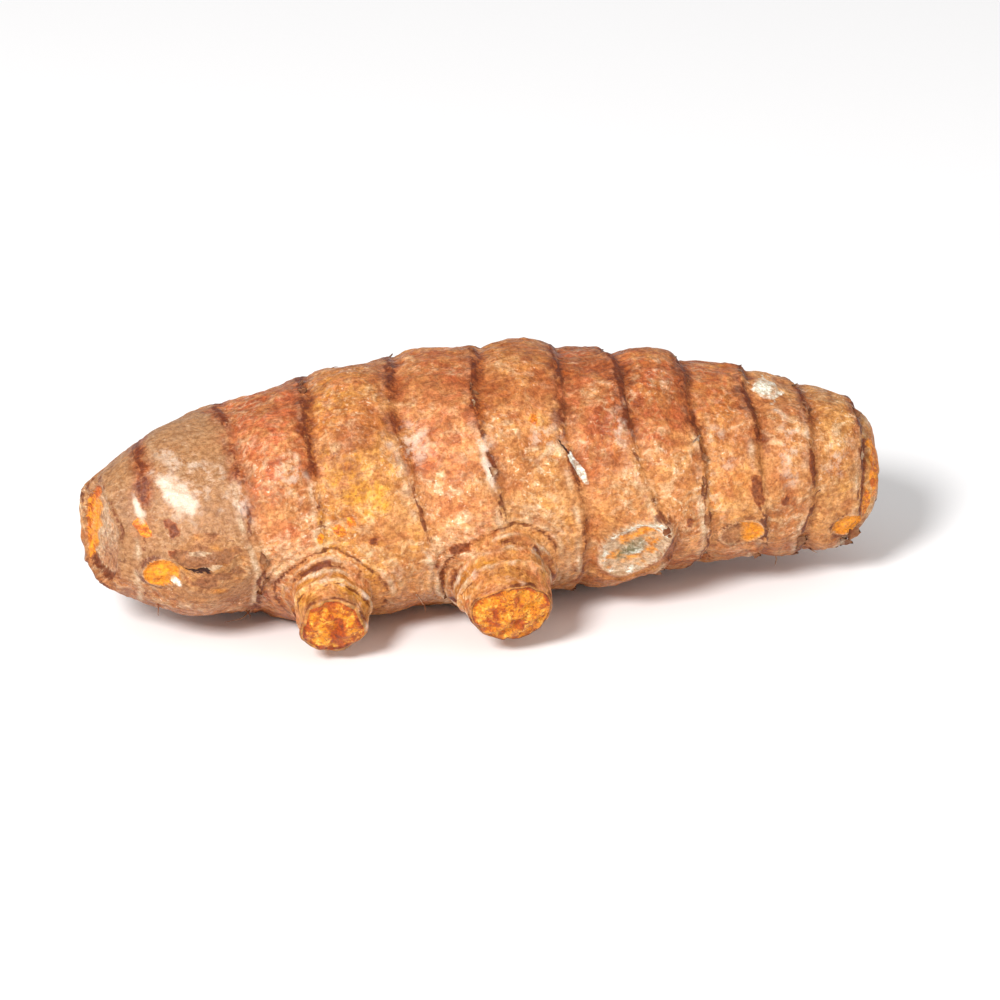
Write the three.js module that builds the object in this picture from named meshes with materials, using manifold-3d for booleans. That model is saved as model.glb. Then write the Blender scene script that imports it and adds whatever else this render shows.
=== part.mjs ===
// A fresh turmeric rhizome, a stout finger of the root as it is sold, lying on a surface.
//
// It grew as one piece and is one solid: a spindle-shaped finger with the ring scars of its
// old scale leaves, two short side shoots snapped off towards the front, low round bud scars
// on both flanks, and a broken scar at each end. It rests on a small flat spot under its belly.
//
// Millimetres. +X runs along the finger towards its growing tip, +Z is up, and the side
// shoots point towards -Y. The origin is the middle of the bounding box, at the bottom.

import * as THREE from 'three';
import { mergeVertices } from 'three/addons/utils/BufferGeometryUtils.js';
import Module from 'manifold-3d';

// Driving dimensions.

// The finger's outline from the broken base on the left to the tip: [along X, radius].
const FINGER_OUTLINE = [
  [-35.5, 0], [-35.8, 1.9], [-36.0, 3.2], [-35.4, 4.4], [-33.5, 5.9], [-30.2, 7.7], [-24.5, 9.4],
  [-17.5, 10.6], [-9.0, 11.7], [0.0, 11.9], [8.0, 11.4], [14.5, 10.7], [20.5, 9.5], [27.5, 8.3],
  [33.0, 7.3], [36.0, 6.1], [37.3, 4.8], [37.8, 3.0], [38.0, 0],
];
// Its centre line: [along X, to the side, height above the surface it lies on].
const FINGER_LINE = [
  [-37.0, -3.6, 10.9], [-29.0, -2.2, 10.6], [-19.0, -0.6, 10.9], [-8.0, 0.1, 11.5], [4.0, 0.4, 12.0],
  [14.0, 0.3, 11.8], [25.0, 0.0, 11.0], [38.0, -0.4, 9.3],
];
const FINGER_AROUND = 46; // facets round the finger
const FINGER_ROWS = 7; // rows of facets from one ring to the next
const SECTION_OVAL = 0.022; // how far the cross-section is from round, as a share of its radius

// Leaf-scar rings: mid is where the ring's middle lies along X, low and front say how far it leans
// towards the tip on the underside and on the front, and step is how far the skin drops after it.
// A ring that bends round a scar has the place of the bend in degrees, and how far it bends.
const RINGS = [
  { mid: -30.9, low: -0.5, front: -2.2, crest: 0.1, step: 0.2 },
  { mid: -21.9, low: 0.2, front: -1.9, crest: 0.3, step: 0.35 },
  { mid: -13.9, low: 0.2, front: -2.9, crest: 0.32, step: 0.4 },
  { mid: -5.0, low: 1.5, front: -2.3, crest: 0.34, step: 0.4 },
  { mid: 2.9, low: 1.0, front: -3.2, crest: 0.34, step: 0.45 },
  { mid: 8.2, low: 0.6, front: -0.5, crest: 0.36, step: 0.5 },
  { mid: 15.1, low: 2.1, front: -1.9, crest: 0.36, step: 0.6, bendAt: 108, bend: 1.7 },
  { mid: 19.4, low: 1.5, front: 0.4, crest: 0.32, step: 0.5 },
  { mid: 25.1, low: 0.5, front: -0.3, crest: 0.34, step: 0.5, bendAt: 112, bend: 1.2 },
  { mid: 30.1, low: 0.8, front: 0.1, crest: 0.32, step: 0.45 },
  { mid: 34.6, low: 0.2, front: 0.6, crest: 0.24, step: 0.3 },
];
const RING_LEAN_DEG = 65; // the side that front means, measured from the top towards the front
const RING_WOBBLE = 0.3; // mm, how far a ring wanders to and fro on its way round
const BEND_REACH_DEG = 28; // over which a ring bends round a scar
const CREST_RISE = 0.85; // mm over which the skin rises to a ring's crest
const CREST_DROP = 0.3; // mm over which it drops again on the tip's side
const INTERNODE_BULGE = 0.3; // mm that the skin swells between two rings
const ROW_CROWDING = 0.75; // how closely the rows crowd to the rings, from 0 to 1
const LUMP_HEIGHT = 0.12; // mm, each of the shallow lumps and dents of the skin
const LUMP_COUNT = 9;

// Snapped-off side shoots: where each leaves the finger (along X, degrees from the top towards the
// front), which way it points (degrees, and lean along X), how far it stands out, and its radii.
const SHOOTS = [
  { at: -15.7, turn: 117, points: 108, lean: -0.1, length: 5.0, base: 3.9, tip: 3.25, around: 20 },
  { at: 0.4, turn: 114, points: 109, lean: 0.04, length: 5.9, base: 4.5, tip: 3.75, around: 22 },
];
const SHOOT_ROOT = 5; // mm that a shoot starts below the skin
const SHOOT_UNEVEN = 0.22; // mm, how far a shoot's skin and its broken face wander

// Bud scars: place on the skin as for a shoot, half length, half width, roll in degrees about its
// own axis, height that its rim stands proud, and the skin's own swelling round it.
const BUD_SCARS = [
  { at: -27.2, turn: 92, long: 3.6, wide: 3.2, roll: 0, proud: 0.12, swell: 0.4 },
  { at: -31.4, turn: 102, long: 1.7, wide: 1.4, roll: 20, proud: 0.3, swell: 0.2 },
  { at: 13.6, turn: 106, long: 3.7, wide: 2.7, roll: 36, proud: 0.5, swell: 1.0 },
  { at: 24.4, turn: 110, long: 2.2, wide: 1.5, roll: 20, proud: 0.3, swell: 0.35 },
  { at: 34.9, turn: 114, long: 1.5, wide: 1.2, roll: 35, proud: 0.3, swell: 0.1 },
  { at: -19.6, turn: 284, long: 2.6, wide: 2.2, roll: -15, proud: 0.35, swell: 0.5 },
  { at: -2.6, turn: 291, long: 3.3, wide: 2.9, roll: 10, proud: 1.0, swell: 1.0 },
  { at: 10.6, turn: 283, long: 2.3, wide: 1.9, roll: 30, proud: 0.35, swell: 0.4 },
  { at: 22.4, turn: 289, long: 1.7, wide: 1.4, roll: -20, proud: 0.3, swell: 0.3 },
];
// The scars at the two ends: place, the way each faces, and its form as for a bud scar.
const END_SCARS = [
  { place: [-34.9, -3.2, 10.8], faces: [-1, -0.32, 0.05], long: 3.5, wide: 2.9, roll: 80, proud: 0.35, swell: 0.3 },
  { place: [37.6, -0.4, 9.4], faces: [1, -0.06, 0.12], long: 3.2, wide: 2.6, roll: 20, proud: 0.35, swell: 0.2 },
];
const SCAR_ROOT = 2.2; // mm that a scar's solid starts below the skin
const SCAR_AROUND = 14;
const SCAR_DISH = 0.25; // mm that a scar's face is dished below its rim
const SCAR_UNEVEN = 0.14; // mm, how far a scar's rim and face wander

const SEED = 20417;
const WELD = 1e-4; // mm within which vertices are merged

const up = new THREE.Vector3(0, 0, 1);
const radians = THREE.MathUtils.degToRad;

// A seeded draw from 0 to 1, the same on every run.
function seededDraw(seed) {
  let state = seed >>> 0;
  return () => {
    state = (Math.imul(state, 1664525) + 1013904223) >>> 0;
    return state / 4294967296;
  };
}

// A curve with even spacing by length through plain [x, y] or [x, y, z] points.
function curveThrough(points) {
  const curve = new THREE.CatmullRomCurve3(points.map((p) => new THREE.Vector3(...p, 0).setZ(p[2] ?? 0)));
  curve.curveType = 'centripetal';
  curve.arcLengthDivisions = 1200;
  return curve;
}

// The point on a centre line, with the directions across it: front is to the side, over is upwards.
function frameAt(line, share) {
  const point = line.getPointAt(share);
  const along = line.getTangentAt(share);
  const front = new THREE.Vector3().crossVectors(along, up).normalize();
  const over = new THREE.Vector3().crossVectors(front, along);
  return { point, along, front, over };
}

// A gentle height bump: 1 at its middle and fading over the given distance.
const bump = (distance, reach) => Math.exp(-((distance / reach) ** 2));

// The angle from b to a, between minus half a turn and half a turn.
const turnBetween = (a, b) => Math.atan2(Math.sin(a - b), Math.cos(a - b));

// Every ring's own wander, and the lumps, are drawn once from the seed.
const draw = seededDraw(SEED);
for (const ring of RINGS) {
  ring.waves = [2, 3, 4, 5, 7].map((count) => ({
    count,
    size: (RING_WOBBLE * (0.5 + draw())) / count ** 0.6,
    phase: 2 * Math.PI * draw(),
  }));
}
const lumps = Array.from({ length: LUMP_COUNT }, () => ({
  count: Math.floor(5 * draw()),
  perMm: ((draw() < 0.5 ? -1 : 1) * 2 * Math.PI) / (9 + 15 * draw()),
  phase: 2 * Math.PI * draw(),
}));

// How far a ring lies from its middle, towards the tip, at an angle round the finger.
function ringShift(ring, angle) {
  const front = radians(RING_LEAN_DEG);
  const lean = ring.front * Math.cos(angle - front) + ring.low * Math.cos(angle - front - Math.PI / 2);
  const waves = ring.waves.reduce((sum, w) => sum + w.size * Math.cos(w.count * angle + w.phase), 0);
  if (!ring.bend) return lean + waves;
  return lean + waves + ring.bend * bump(turnBetween(angle, radians(ring.bendAt)), radians(BEND_REACH_DEG));
}

// The outline as distance along the skin, so that rows can follow the rings.
const outline = curveThrough(FINGER_OUTLINE);
const outlineLength = outline.getLength();
const line = curveThrough(FINGER_LINE);
const lineStart = FINGER_OUTLINE[0][0];
const lineSpan = FINGER_OUTLINE.at(-1)[0] - lineStart;
const lineShare = (x) => THREE.MathUtils.clamp((x - lineStart) / lineSpan, 0, 1);

// The distance along the outline at which it has reached x.
function distanceAt(x) {
  let low = 0;
  let high = 1;
  for (let i = 0; i < 40; i += 1) {
    const middle = (low + high) / 2;
    if (outline.getPointAt(middle).x < x) low = middle;
    else high = middle;
  }
  return low * outlineLength;
}

// The finger's skin stands this far out from its smooth outline.
function skinHeight(x, radius, angle, share, before, after, gapBefore, gapAfter) {
  const low = before?.step ?? 0;
  const high = after?.step ?? 0;
  let height = low * (share - 1) * 0.5 + high * share * 0.5;
  height += INTERNODE_BULGE * Math.sin(Math.PI * share) * (before && after ? 1 : 0.4);
  if (after) height += after.crest * bump(gapAfter, CREST_RISE);
  if (before) height += (before.crest + before.step) * bump(gapBefore, CREST_DROP);
  const lumpy = LUMP_HEIGHT * THREE.MathUtils.smoothstep(radius, 3, 9);
  for (const lump of lumps) height += lumpy * Math.cos(lump.count * angle + lump.perMm * x + lump.phase);
  for (const { at, turn, long, base, swell = 1.2 } of [...SHOOTS, ...BUD_SCARS]) {
    const round = turnBetween(angle, radians(turn)) * radius;
    height += swell * bump(Math.hypot(x - at, round), (long ?? base) + 1.6);
  }
  return height * THREE.MathUtils.smoothstep(radius, 0, 4);
}

// The finger: a turned blank whose rows are moved onto the rings and out to the skin.
function fingerGeometry() {
  const stops = [0, ...RINGS.map((ring) => distanceAt(ring.mid)), outlineLength];
  const rows = [];
  for (let i = 0; i + 1 < stops.length; i += 1) {
    for (let j = 0; j < FINGER_ROWS; j += 1) {
      const even = j / FINGER_ROWS;
      rows.push({ i, share: even - (ROW_CROWDING * Math.sin(2 * Math.PI * even)) / (2 * Math.PI) });
    }
  }
  rows.push({ i: stops.length - 2, share: 1 });
  const blank = rows.map(({ i, share }, n) => {
    const point = outline.getPointAt((stops[i] + (stops[i + 1] - stops[i]) * share) / outlineLength);
    return new THREE.Vector2(n === 0 || n === rows.length - 1 ? 0 : point.y, point.x);
  });
  const geometry = new THREE.LatheGeometry(blank, FINGER_AROUND);
  const position = geometry.getAttribute('position');
  const vertex = new THREE.Vector3();
  for (let n = 0; n < position.count; n += 1) {
    const { i, share } = rows[n % rows.length];
    const angle = (2 * Math.PI * Math.floor(n / rows.length)) / FINGER_AROUND;
    placeOnFinger(vertex, stops, i, share, angle);
    position.setXYZ(n, vertex.x, vertex.y, vertex.z);
  }
  return geometry;
}

// Sets vertex to the skin point between stops i and i + 1, at an angle from the top to the front.
function placeOnFinger(vertex, stops, i, share, angle) {
  const before = RINGS[i - 1];
  const after = RINGS[i];
  const start = stops[i] + (before ? ringShift(before, angle) : 0);
  const end = stops[i + 1] + (after ? ringShift(after, angle) : 0);
  const distance = start + (end - start) * share;
  const on = THREE.MathUtils.clamp(distance / outlineLength, 0, 1);
  const { x, y: radius } = outline.getPointAt(on);
  const slope = outline.getTangentAt(on);
  const height = skinHeight(x, radius, angle, share, before, after, distance - start, end - distance);
  const oval = 1 + SECTION_OVAL * Math.cos(2 * angle - 1.9);
  const out = Math.max(0, radius * oval + height * slope.x);
  const { point, along, front, over } = frameAt(line, lineShare(x));
  vertex.copy(point).addScaledVector(along, -height * slope.y);
  vertex.addScaledVector(over, out * Math.cos(angle)).addScaledVector(front, out * Math.sin(angle));
}

// A place on the finger's smooth skin and the direction straight out of it there.
function skinPlace(at, turn) {
  const { point, front, over } = frameAt(line, lineShare(at));
  const outward = over.multiplyScalar(Math.cos(radians(turn))).addScaledVector(front, Math.sin(radians(turn)));
  const radius = outline.getPointAt(distanceAt(at) / outlineLength).y;
  return { point: point.clone().addScaledVector(outward, radius), outward };
}

// Moves a turned solid's skin to and fro by smooth waves, so that it is grown and not turned.
function roughen(geometry, amount, phase) {
  const position = geometry.getAttribute('position');
  for (let n = 0; n < position.count; n += 1) {
    const [x, y, z] = [position.getX(n), position.getY(n), position.getZ(n)];
    const radius = Math.hypot(x, y);
    const turn = radius > WELD ? Math.atan2(y, x) : 0;
    const waves = Math.cos(2 * turn + phase) + 0.7 * Math.cos(3 * turn + 2.1 * phase + 0.5 * z);
    const out = 1 + (amount * (waves + 0.6 * Math.cos(5 * turn - phase + 0.9 * z))) / (radius + 1);
    const face = Math.cos(1.3 * x + phase) + Math.cos(1.6 * y + 2 * phase) + 0.7 * Math.cos(2.4 * (x - y) + phase);
    position.setXYZ(n, x * out, y * out, z + amount * 0.5 * face);
  }
}

// A turned solid whose axis runs from a place along a direction; squeeze makes its section oval.
function turnedSolid(profile, around, { point, outward }, uneven, phase, squeeze = 1, roll = 0) {
  const geometry = new THREE.LatheGeometry(profile.map(([radius, along]) => new THREE.Vector2(radius, along)), around);
  geometry.rotateX(Math.PI / 2);
  geometry.scale(1, squeeze, 1);
  geometry.rotateZ(radians(roll));
  roughen(geometry, uneven, phase);
  const across = new THREE.Vector3(0, 0, 1).cross(outward);
  if (across.lengthSq() < 0.5) across.set(1, 0, 0);
  across.addScaledVector(outward, -across.dot(outward)).normalize();
  const beyond = new THREE.Vector3().crossVectors(outward, across);
  geometry.applyMatrix4(new THREE.Matrix4().makeBasis(across, beyond, outward).setPosition(point));
  return geometry;
}

// A side shoot: a collar where it leaves the finger, a leaf ring, and a domed broken face.
function shootGeometry({ at, turn, points, lean, length, base, tip, around }) {
  const { point } = skinPlace(at, turn);
  const outward = new THREE.Vector3(lean, -Math.sin(radians(points)), Math.cos(radians(points))).normalize();
  const taper = (share) => base + (tip - base) * share;
  const collar = [[base + 1.5, -1.6], [base + 0.9, 0.1], [base + 0.55, 1.0], [base - 0.05, 1.25]];
  const ring = [[taper(0.4), length * 0.42], [taper(0.5) + 0.25, length * 0.55], [taper(0.6) - 0.15, length * 0.61]];
  const lip = [[tip + 0.05, length * 0.86], [tip - 0.15, length - 0.1], [tip - 0.7, length + 0.15]];
  const face = [[tip * 0.5, length + 0.35], [0, length + 0.2]];
  const profile = [[0, -SHOOT_ROOT], [base, -SHOOT_ROOT], ...collar, ...ring, ...lip, ...face];
  return turnedSolid(profile, around, { point, outward }, SHOOT_UNEVEN, at);
}

// A scar: a low soft rim on the skin with a slightly dished, rough face.
function scarGeometry({ long, wide, roll, proud, swell }, spot) {
  const top = swell + proud;
  const rim = [[long + 0.9, top - 1.3], [long + 0.35, top - 0.35], [long - 0.15, top], [long - 0.6, top - 0.08]];
  const face = [[long * 0.55, top - SCAR_DISH], [0, top - SCAR_DISH * 0.6]];
  const profile = [[0, -SCAR_ROOT], [long * 0.8, -SCAR_ROOT], ...rim, ...face];
  return turnedSolid(profile, SCAR_AROUND, spot, SCAR_UNEVEN, 3 * long, wide / long, roll);
}

const wasm = await Module();
wasm.setup();

// A closed three.js geometry as a solid that can be joined and cut.
function solidFrom(geometry) {
  const bare = new THREE.BufferGeometry().setAttribute('position', geometry.getAttribute('position'));
  bare.setIndex(geometry.getIndex());
  const merged = mergeVertices(bare, WELD);
  const vertProperties = new Float32Array(merged.getAttribute('position').array);
  return new wasm.Manifold(new wasm.Mesh({ numProp: 3, vertProperties, triVerts: dropFlat(merged) }));
}

// The triangles of a merged geometry, without those that merging folded to a line.
function dropFlat(geometry) {
  const index = geometry.getIndex().array;
  const kept = [];
  for (let i = 0; i < index.length; i += 3) {
    const [a, b, c] = index.slice(i, i + 3);
    if (a !== b && b !== c && c !== a) kept.push(a, b, c);
  }
  return new Uint32Array(kept);
}

// A solid back as a three.js geometry.
function geometryFrom(solid) {
  const { vertProperties, triVerts, numProp, numVert } = solid.getMesh();
  const position = new Float32Array(numVert * 3);
  for (let i = 0; i < numVert; i += 1) {
    position.set(vertProperties.subarray(i * numProp, i * numProp + 3), i * 3);
  }
  const geometry = new THREE.BufferGeometry();
  geometry.setAttribute('position', new THREE.BufferAttribute(position, 3));
  geometry.setIndex(new THREE.BufferAttribute(triVerts, 1));
  geometry.computeVertexNormals();
  return geometry;
}

// What lies below the surface is planed away, which leaves the flat spot that the root rests on.
function surfaceBlock() {
  const block = new THREE.BoxGeometry(120, 80, 20);
  block.translate(0, 0, -10);
  return block;
}

// The whole root, joined into one body and set on the surface round its middle.
function rootGeometry() {
  let solid = solidFrom(fingerGeometry());
  for (const shoot of SHOOTS) solid = solid.add(solidFrom(shootGeometry(shoot)));
  for (const scar of BUD_SCARS) solid = solid.add(solidFrom(scarGeometry(scar, skinPlace(scar.at, scar.turn))));
  for (const scar of END_SCARS) {
    const spot = { point: new THREE.Vector3(...scar.place), outward: new THREE.Vector3(...scar.faces).normalize() };
    solid = solid.add(solidFrom(scarGeometry(scar, spot)));
  }
  const geometry = geometryFrom(solid.subtract(solidFrom(surfaceBlock())));
  geometry.computeBoundingBox();
  const middle = geometry.boundingBox.getCenter(new THREE.Vector3());
  geometry.translate(-middle.x, -middle.y, 0);
  return geometry;
}

// Dry corky skin, tan with a red-brown blush.
function skinMaterial() {
  return new THREE.MeshStandardMaterial({ color: '#c98a5c', roughness: 0.72, metalness: 0 });
}

const rhizome = new THREE.Mesh(rootGeometry(), skinMaterial());
rhizome.name = 'turmeric_rhizome';

const part = new THREE.Group();
part.add(rhizome);

export default part;
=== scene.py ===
# A fresh turmeric rhizome: corky skin with leaf-scar rings, snapped-off side shoots, bud scars,
# shreds of dried leaf sheath and a few dried rootlets, lying on a pale floor.
#
# Drawn in millimetres along the finger and turned to metres when a mesh is made. Angles go round
# the finger from its top (0 degrees) over its front (90) to its underside (180).

import math

import bpy
import numpy as np
from bpy.props import FloatProperty, FloatVectorProperty, IntProperty, PointerProperty
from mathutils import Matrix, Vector, noise


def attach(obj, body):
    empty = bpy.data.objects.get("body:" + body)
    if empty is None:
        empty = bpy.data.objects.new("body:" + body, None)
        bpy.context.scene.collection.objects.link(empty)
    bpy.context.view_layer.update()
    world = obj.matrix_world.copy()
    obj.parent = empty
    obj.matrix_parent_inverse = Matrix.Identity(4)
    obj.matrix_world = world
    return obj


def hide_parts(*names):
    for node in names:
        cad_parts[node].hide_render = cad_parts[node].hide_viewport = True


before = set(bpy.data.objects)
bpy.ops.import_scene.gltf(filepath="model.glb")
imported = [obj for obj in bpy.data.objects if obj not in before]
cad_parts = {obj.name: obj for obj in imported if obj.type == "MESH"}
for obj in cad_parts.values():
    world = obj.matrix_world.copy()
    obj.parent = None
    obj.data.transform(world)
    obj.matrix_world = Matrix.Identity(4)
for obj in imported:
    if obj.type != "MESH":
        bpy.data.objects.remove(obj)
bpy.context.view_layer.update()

bl_info = {
    "name": "Turmeric Rhizome",
    "version": (1, 0, 0),
    "blender": (4, 5, 0),
    "location": "View3D > Sidebar > Rhizome",
    "description": "Builds a fresh turmeric rhizome: its skin, scars, dried shreds and rootlets",
    "category": "Object",
}

NODE = "turmeric_rhizome"
MM = 0.001  # a millimetre in metres
METRE = 1000  # in mm

# The drawing's own middle, which the frame puts over its origin, in mm.
DRAWING_MIDDLE = np.array([0.3288, -1.6302, 0])

# The finger's outline from the broken base to the tip: [along X, radius].
FINGER_OUTLINE = [
    [-35.5, 0], [-35.8, 1.9], [-36.0, 3.2], [-35.4, 4.4], [-33.5, 5.9], [-30.2, 7.7], [-24.5, 9.4],
    [-17.5, 10.6], [-9.0, 11.7], [0.0, 11.9], [8.0, 11.4], [14.5, 10.7], [20.5, 9.5], [27.5, 8.3],
    [33.0, 7.3], [36.0, 6.1], [37.3, 4.8], [37.8, 3.0], [38.0, 0],
]
# Its centre line: [along X, to the side, height above the floor].
FINGER_LINE = [
    [-37.0, -3.6, 10.9], [-29.0, -2.2, 10.6], [-19.0, -0.6, 10.9], [-8.0, 0.1, 11.5],
    [4.0, 0.4, 12.0], [14.0, 0.3, 11.8], [25.0, 0.0, 11.0], [38.0, -0.4, 9.3],
]
SECTION_OVAL = 0.022  # how far the cross-section is from round, as a share of its radius
OVAL_TURN = 1.9  # twice the angle of its longest radius, in radians


def table(keys, *rows):
    """Rows of values as dicts. A short row has no value for the last keys."""
    return [dict(zip(keys.split(), row)) for row in rows]


# Leaf-scar rings: mid along X, lean towards the tip on the underside (low) and on the front, crest
# height, the skin's drop after it, how much of that relief is left on this weathered root, how dark
# its line, stain and painted shade are on top and front, and its bend round a scar: angle,
# distance.
RINGS = table(
    "mid low front crest step kept top side bend",
    (-30.9, -0.5, -2.2, 0.14, 0.25, 0.6, 1.0, 0.7),
    (-21.9, 0.2, -1.9, 0.3, 0.35, 0.55, 1.0, 0.8),
    (-13.9, 0.2, -2.9, 0.32, 0.4, 0.5, 1.0, 0.6),
    (-5.0, 1.5, -2.3, 0.34, 0.4, 0.6, 0.9, 0.8),
    (2.9, 1.0, -3.2, 0.34, 0.45, 0.75, 0.8, 0.9),
    (8.2, 0.6, -0.5, 0.36, 0.5, 0.75, 0.9, 0.8),
    (15.1, 2.1, -1.9, 0.36, 0.6, 0.9, 1.5, 0.7, (108, 1.7)),
    (19.4, 1.5, 0.4, 0.32, 0.5, 0.95, 0.9, 0.95),
    (25.1, 0.5, -0.3, 0.34, 0.5, 0.95, 0.9, 1.0, (112, 1.2)),
    (30.1, 0.8, 0.1, 0.32, 0.45, 0.95, 0.8, 1.0),
    (34.6, 0.2, 0.6, 0.26, 0.36, 1.0, 1.0, 1.2),
)
RING_LEAN_DEG = 65  # where the lean on the front is measured
RING_WOBBLE = 0.3
BEND_REACH_DEG = 28
CREST_RISE = 0.85
CREST_DROP = 0.45
INTERNODE_BULGE = 0.3
LUMP_HEIGHT = 0.12
LUMP_COUNT = 9
SEED = 20417

# Relief that the solid leaves out, or has less of, in mm.
BULGE_GAIN = 1.7  # the stretches between rings swell this many times as much as in the solid
END_BULGE = 0.4  # share of that swelling in the two end stretches
TROUGH_DEPTH, TROUGH_AT, TROUGH_REACH = 0.1, 0.9, 0.5  # the dip past each ring
SHEATH_LINES = ((1.25, 0.07), (2.1, 0.045))  # faint lines: distance from a ring, height
SHEATH_LINE_REACH = 0.16
# Noise layers: size in mm, seed, stretch along X, height.
WRINKLES = ((0.8, 4, 7, 1), (0.45, 5, 4, 0.6))
SMALL_LUMPS = ((3.2, 6, 1.3, 0.3), (1.5, 7, 0.8, 0.15), (0.6, 8, 1, 0.05))
PIT_SPACING = 1.7
PIT_SHARE = 0.16  # how many of the places for a pit have one
PIT_RADIUS = 0.42  # as a share of the spacing

# The base is worn smooth: where that fades in along X, and the angle of its middle and how far
# round it fades, in radians.
WORN_ALONG = (-21.5, -24.5)
WORN_TURN = 0.8
WORN_ROUND = (1.5, 0.9)
WORN_FLATTER = 0.65  # share of the fine relief that is worn off

# Shares of rosy, golden and greyish skin in each stretch between rings, base to tip.
SKIN_TINTS = [
    (0.00, 0.05, 0.80), (0.05, 0.05, 0.85), (0.75, 0.10, 0.00), (0.30, 0.50, 0.10),
    (0.60, 0.15, 0.05), (0.20, 0.40, 0.10), (0.45, 0.20, 0.10), (0.45, 0.25, 0.10),
    (0.65, 0.45, 0.00), (0.50, 0.15, 0.00), (0.15, 0.30, 0.10), (0.10, 0.60, 0.05),
]
# How red and dark the top of each stretch is: partly the skin's own red, partly painted shade.
RED_AND_SHADED_TOPS = (0, 0, 0.8, 0.4, 0.45, 0.5, 0.95, 1.0, 1.0, 0, 0, 0)

# Snapped-off side shoots, as in the solid: place along X and round the finger, the way they point
# in degrees from straight up and how far that leans along X, length and radii in mm, and how much
# painted shade darkens the broken face.
SHOOTS = table(
    "at turn points lean length base tip dim",
    (-15.7, 117, 108, -0.1, 5.0, 3.9, 3.25, 0.25),
    (0.4, 114, 109, 0.04, 5.9, 4.5, 3.75, -0.1),
)
SHOOT_ROOT = 5.0  # how far a shoot reaches into the finger
SHOOT_UNEVEN = 0.22
SHOOT_SWELL = 1.2  # height of the finger's own swelling under a shoot
FOLDS = ((1.7, 0.22), (2.5, 0.16), (3.2, 0.12))  # skin folds: distance from a shoot, height
FOLD_CREASE_AT = 0.42  # how far past its fold a crease lies
FOOT_DEPTH, FOOT_REACH = 5, 12  # how far in, and how far from its middle, a shoot has folds

# Bud scars: place, half sizes, roll, rim height, the skin's swelling, how flat the face is (from
# the skin's own curve to a plane), how much of it is bare orange flesh and pale bloom, and how
# far the flesh is browned from the rim in.
BUD_SCARS = table(
    "at turn long wide roll proud swell flat flesh mould brown",
    (-27.2, 92, 3.6, 3.2, 0, 0.12, 0.4, 0.05, 0.0, 0.0),
    (-31.4, 102, 1.7, 1.4, 20, 0.3, 0.2, 0.6, 1.0, 0.0),
    (13.6, 106, 3.7, 2.7, 36, 0.5, 1.0, 1.0, 0.4, 1.0),
    (24.4, 110, 2.2, 1.5, 20, 0.3, 0.35, 0.7, 0.5, 0.0),
    (34.9, 114, 1.5, 1.2, 35, 0.3, 0.1, 0.6, 1.0, 0.0, 0.3),
    (-19.6, 284, 2.6, 2.2, -15, 0.35, 0.5, 0.7, 0.3, 0.3),
    (-2.6, 291, 3.3, 2.9, 10, 1.0, 1.0, 1.0, 0.9, 0.0),
    (10.6, 283, 2.3, 1.9, 30, 0.35, 0.4, 0.7, 0.3, 0.5),
    (22.4, 289, 1.7, 1.4, -20, 0.3, 0.3, 0.6, 0.7, 0.0),
)
# The scars on the two ends: place and facing, then as above. On one that is split, only a strip
# along the edge is still orange.
END_SCARS = table(
    "place faces long wide roll proud swell flat flesh mould split",
    ((-35.0, -3.7, 10.8), (-1, -0.46, 0.05), 3.7, 3.2, 80, 0.35, 0.3, 0.8, 0.75, 0.0, True),
    ((37.6, -0.4, 9.4), (1, -0.06, 0.12), 3.2, 2.6, 20, 0.35, 0.2, 0.8, 0.5, 0.0),
)
SCAR_DISH = 0.25
# Depth of a scar's face in dishes, at shares of its radius.
SCAR_AT = (0, 0.55, 0.84, 0.95, 1.02, 1.1)
SCAR_DEPTH = SCAR_DISH * np.array([-0.6, -1, -0.75, -0.1, 0, -0.3])
SCAR_REACH = 2.2  # half lengths within which a scar changes the skin
SCAR_HEIGHT = 4  # and how far above and below it, in mm
SWELL_REACH = 1.6  # how far past its edge the skin's swelling under a scar or shoot goes
LARGE_SCAR = 3.6  # half length above which a scar has a second fold of skin
MOULDY = 0.8  # share of bloom above which a scar has a grey hollow in a broken ring of flesh
TALL_RIM = 0.6  # rim height above which a scar's rim is wider, and its flesh dried beside it
ALL_BARE = 0.9  # share of flesh from which on a scar's whole face is flesh

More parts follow.
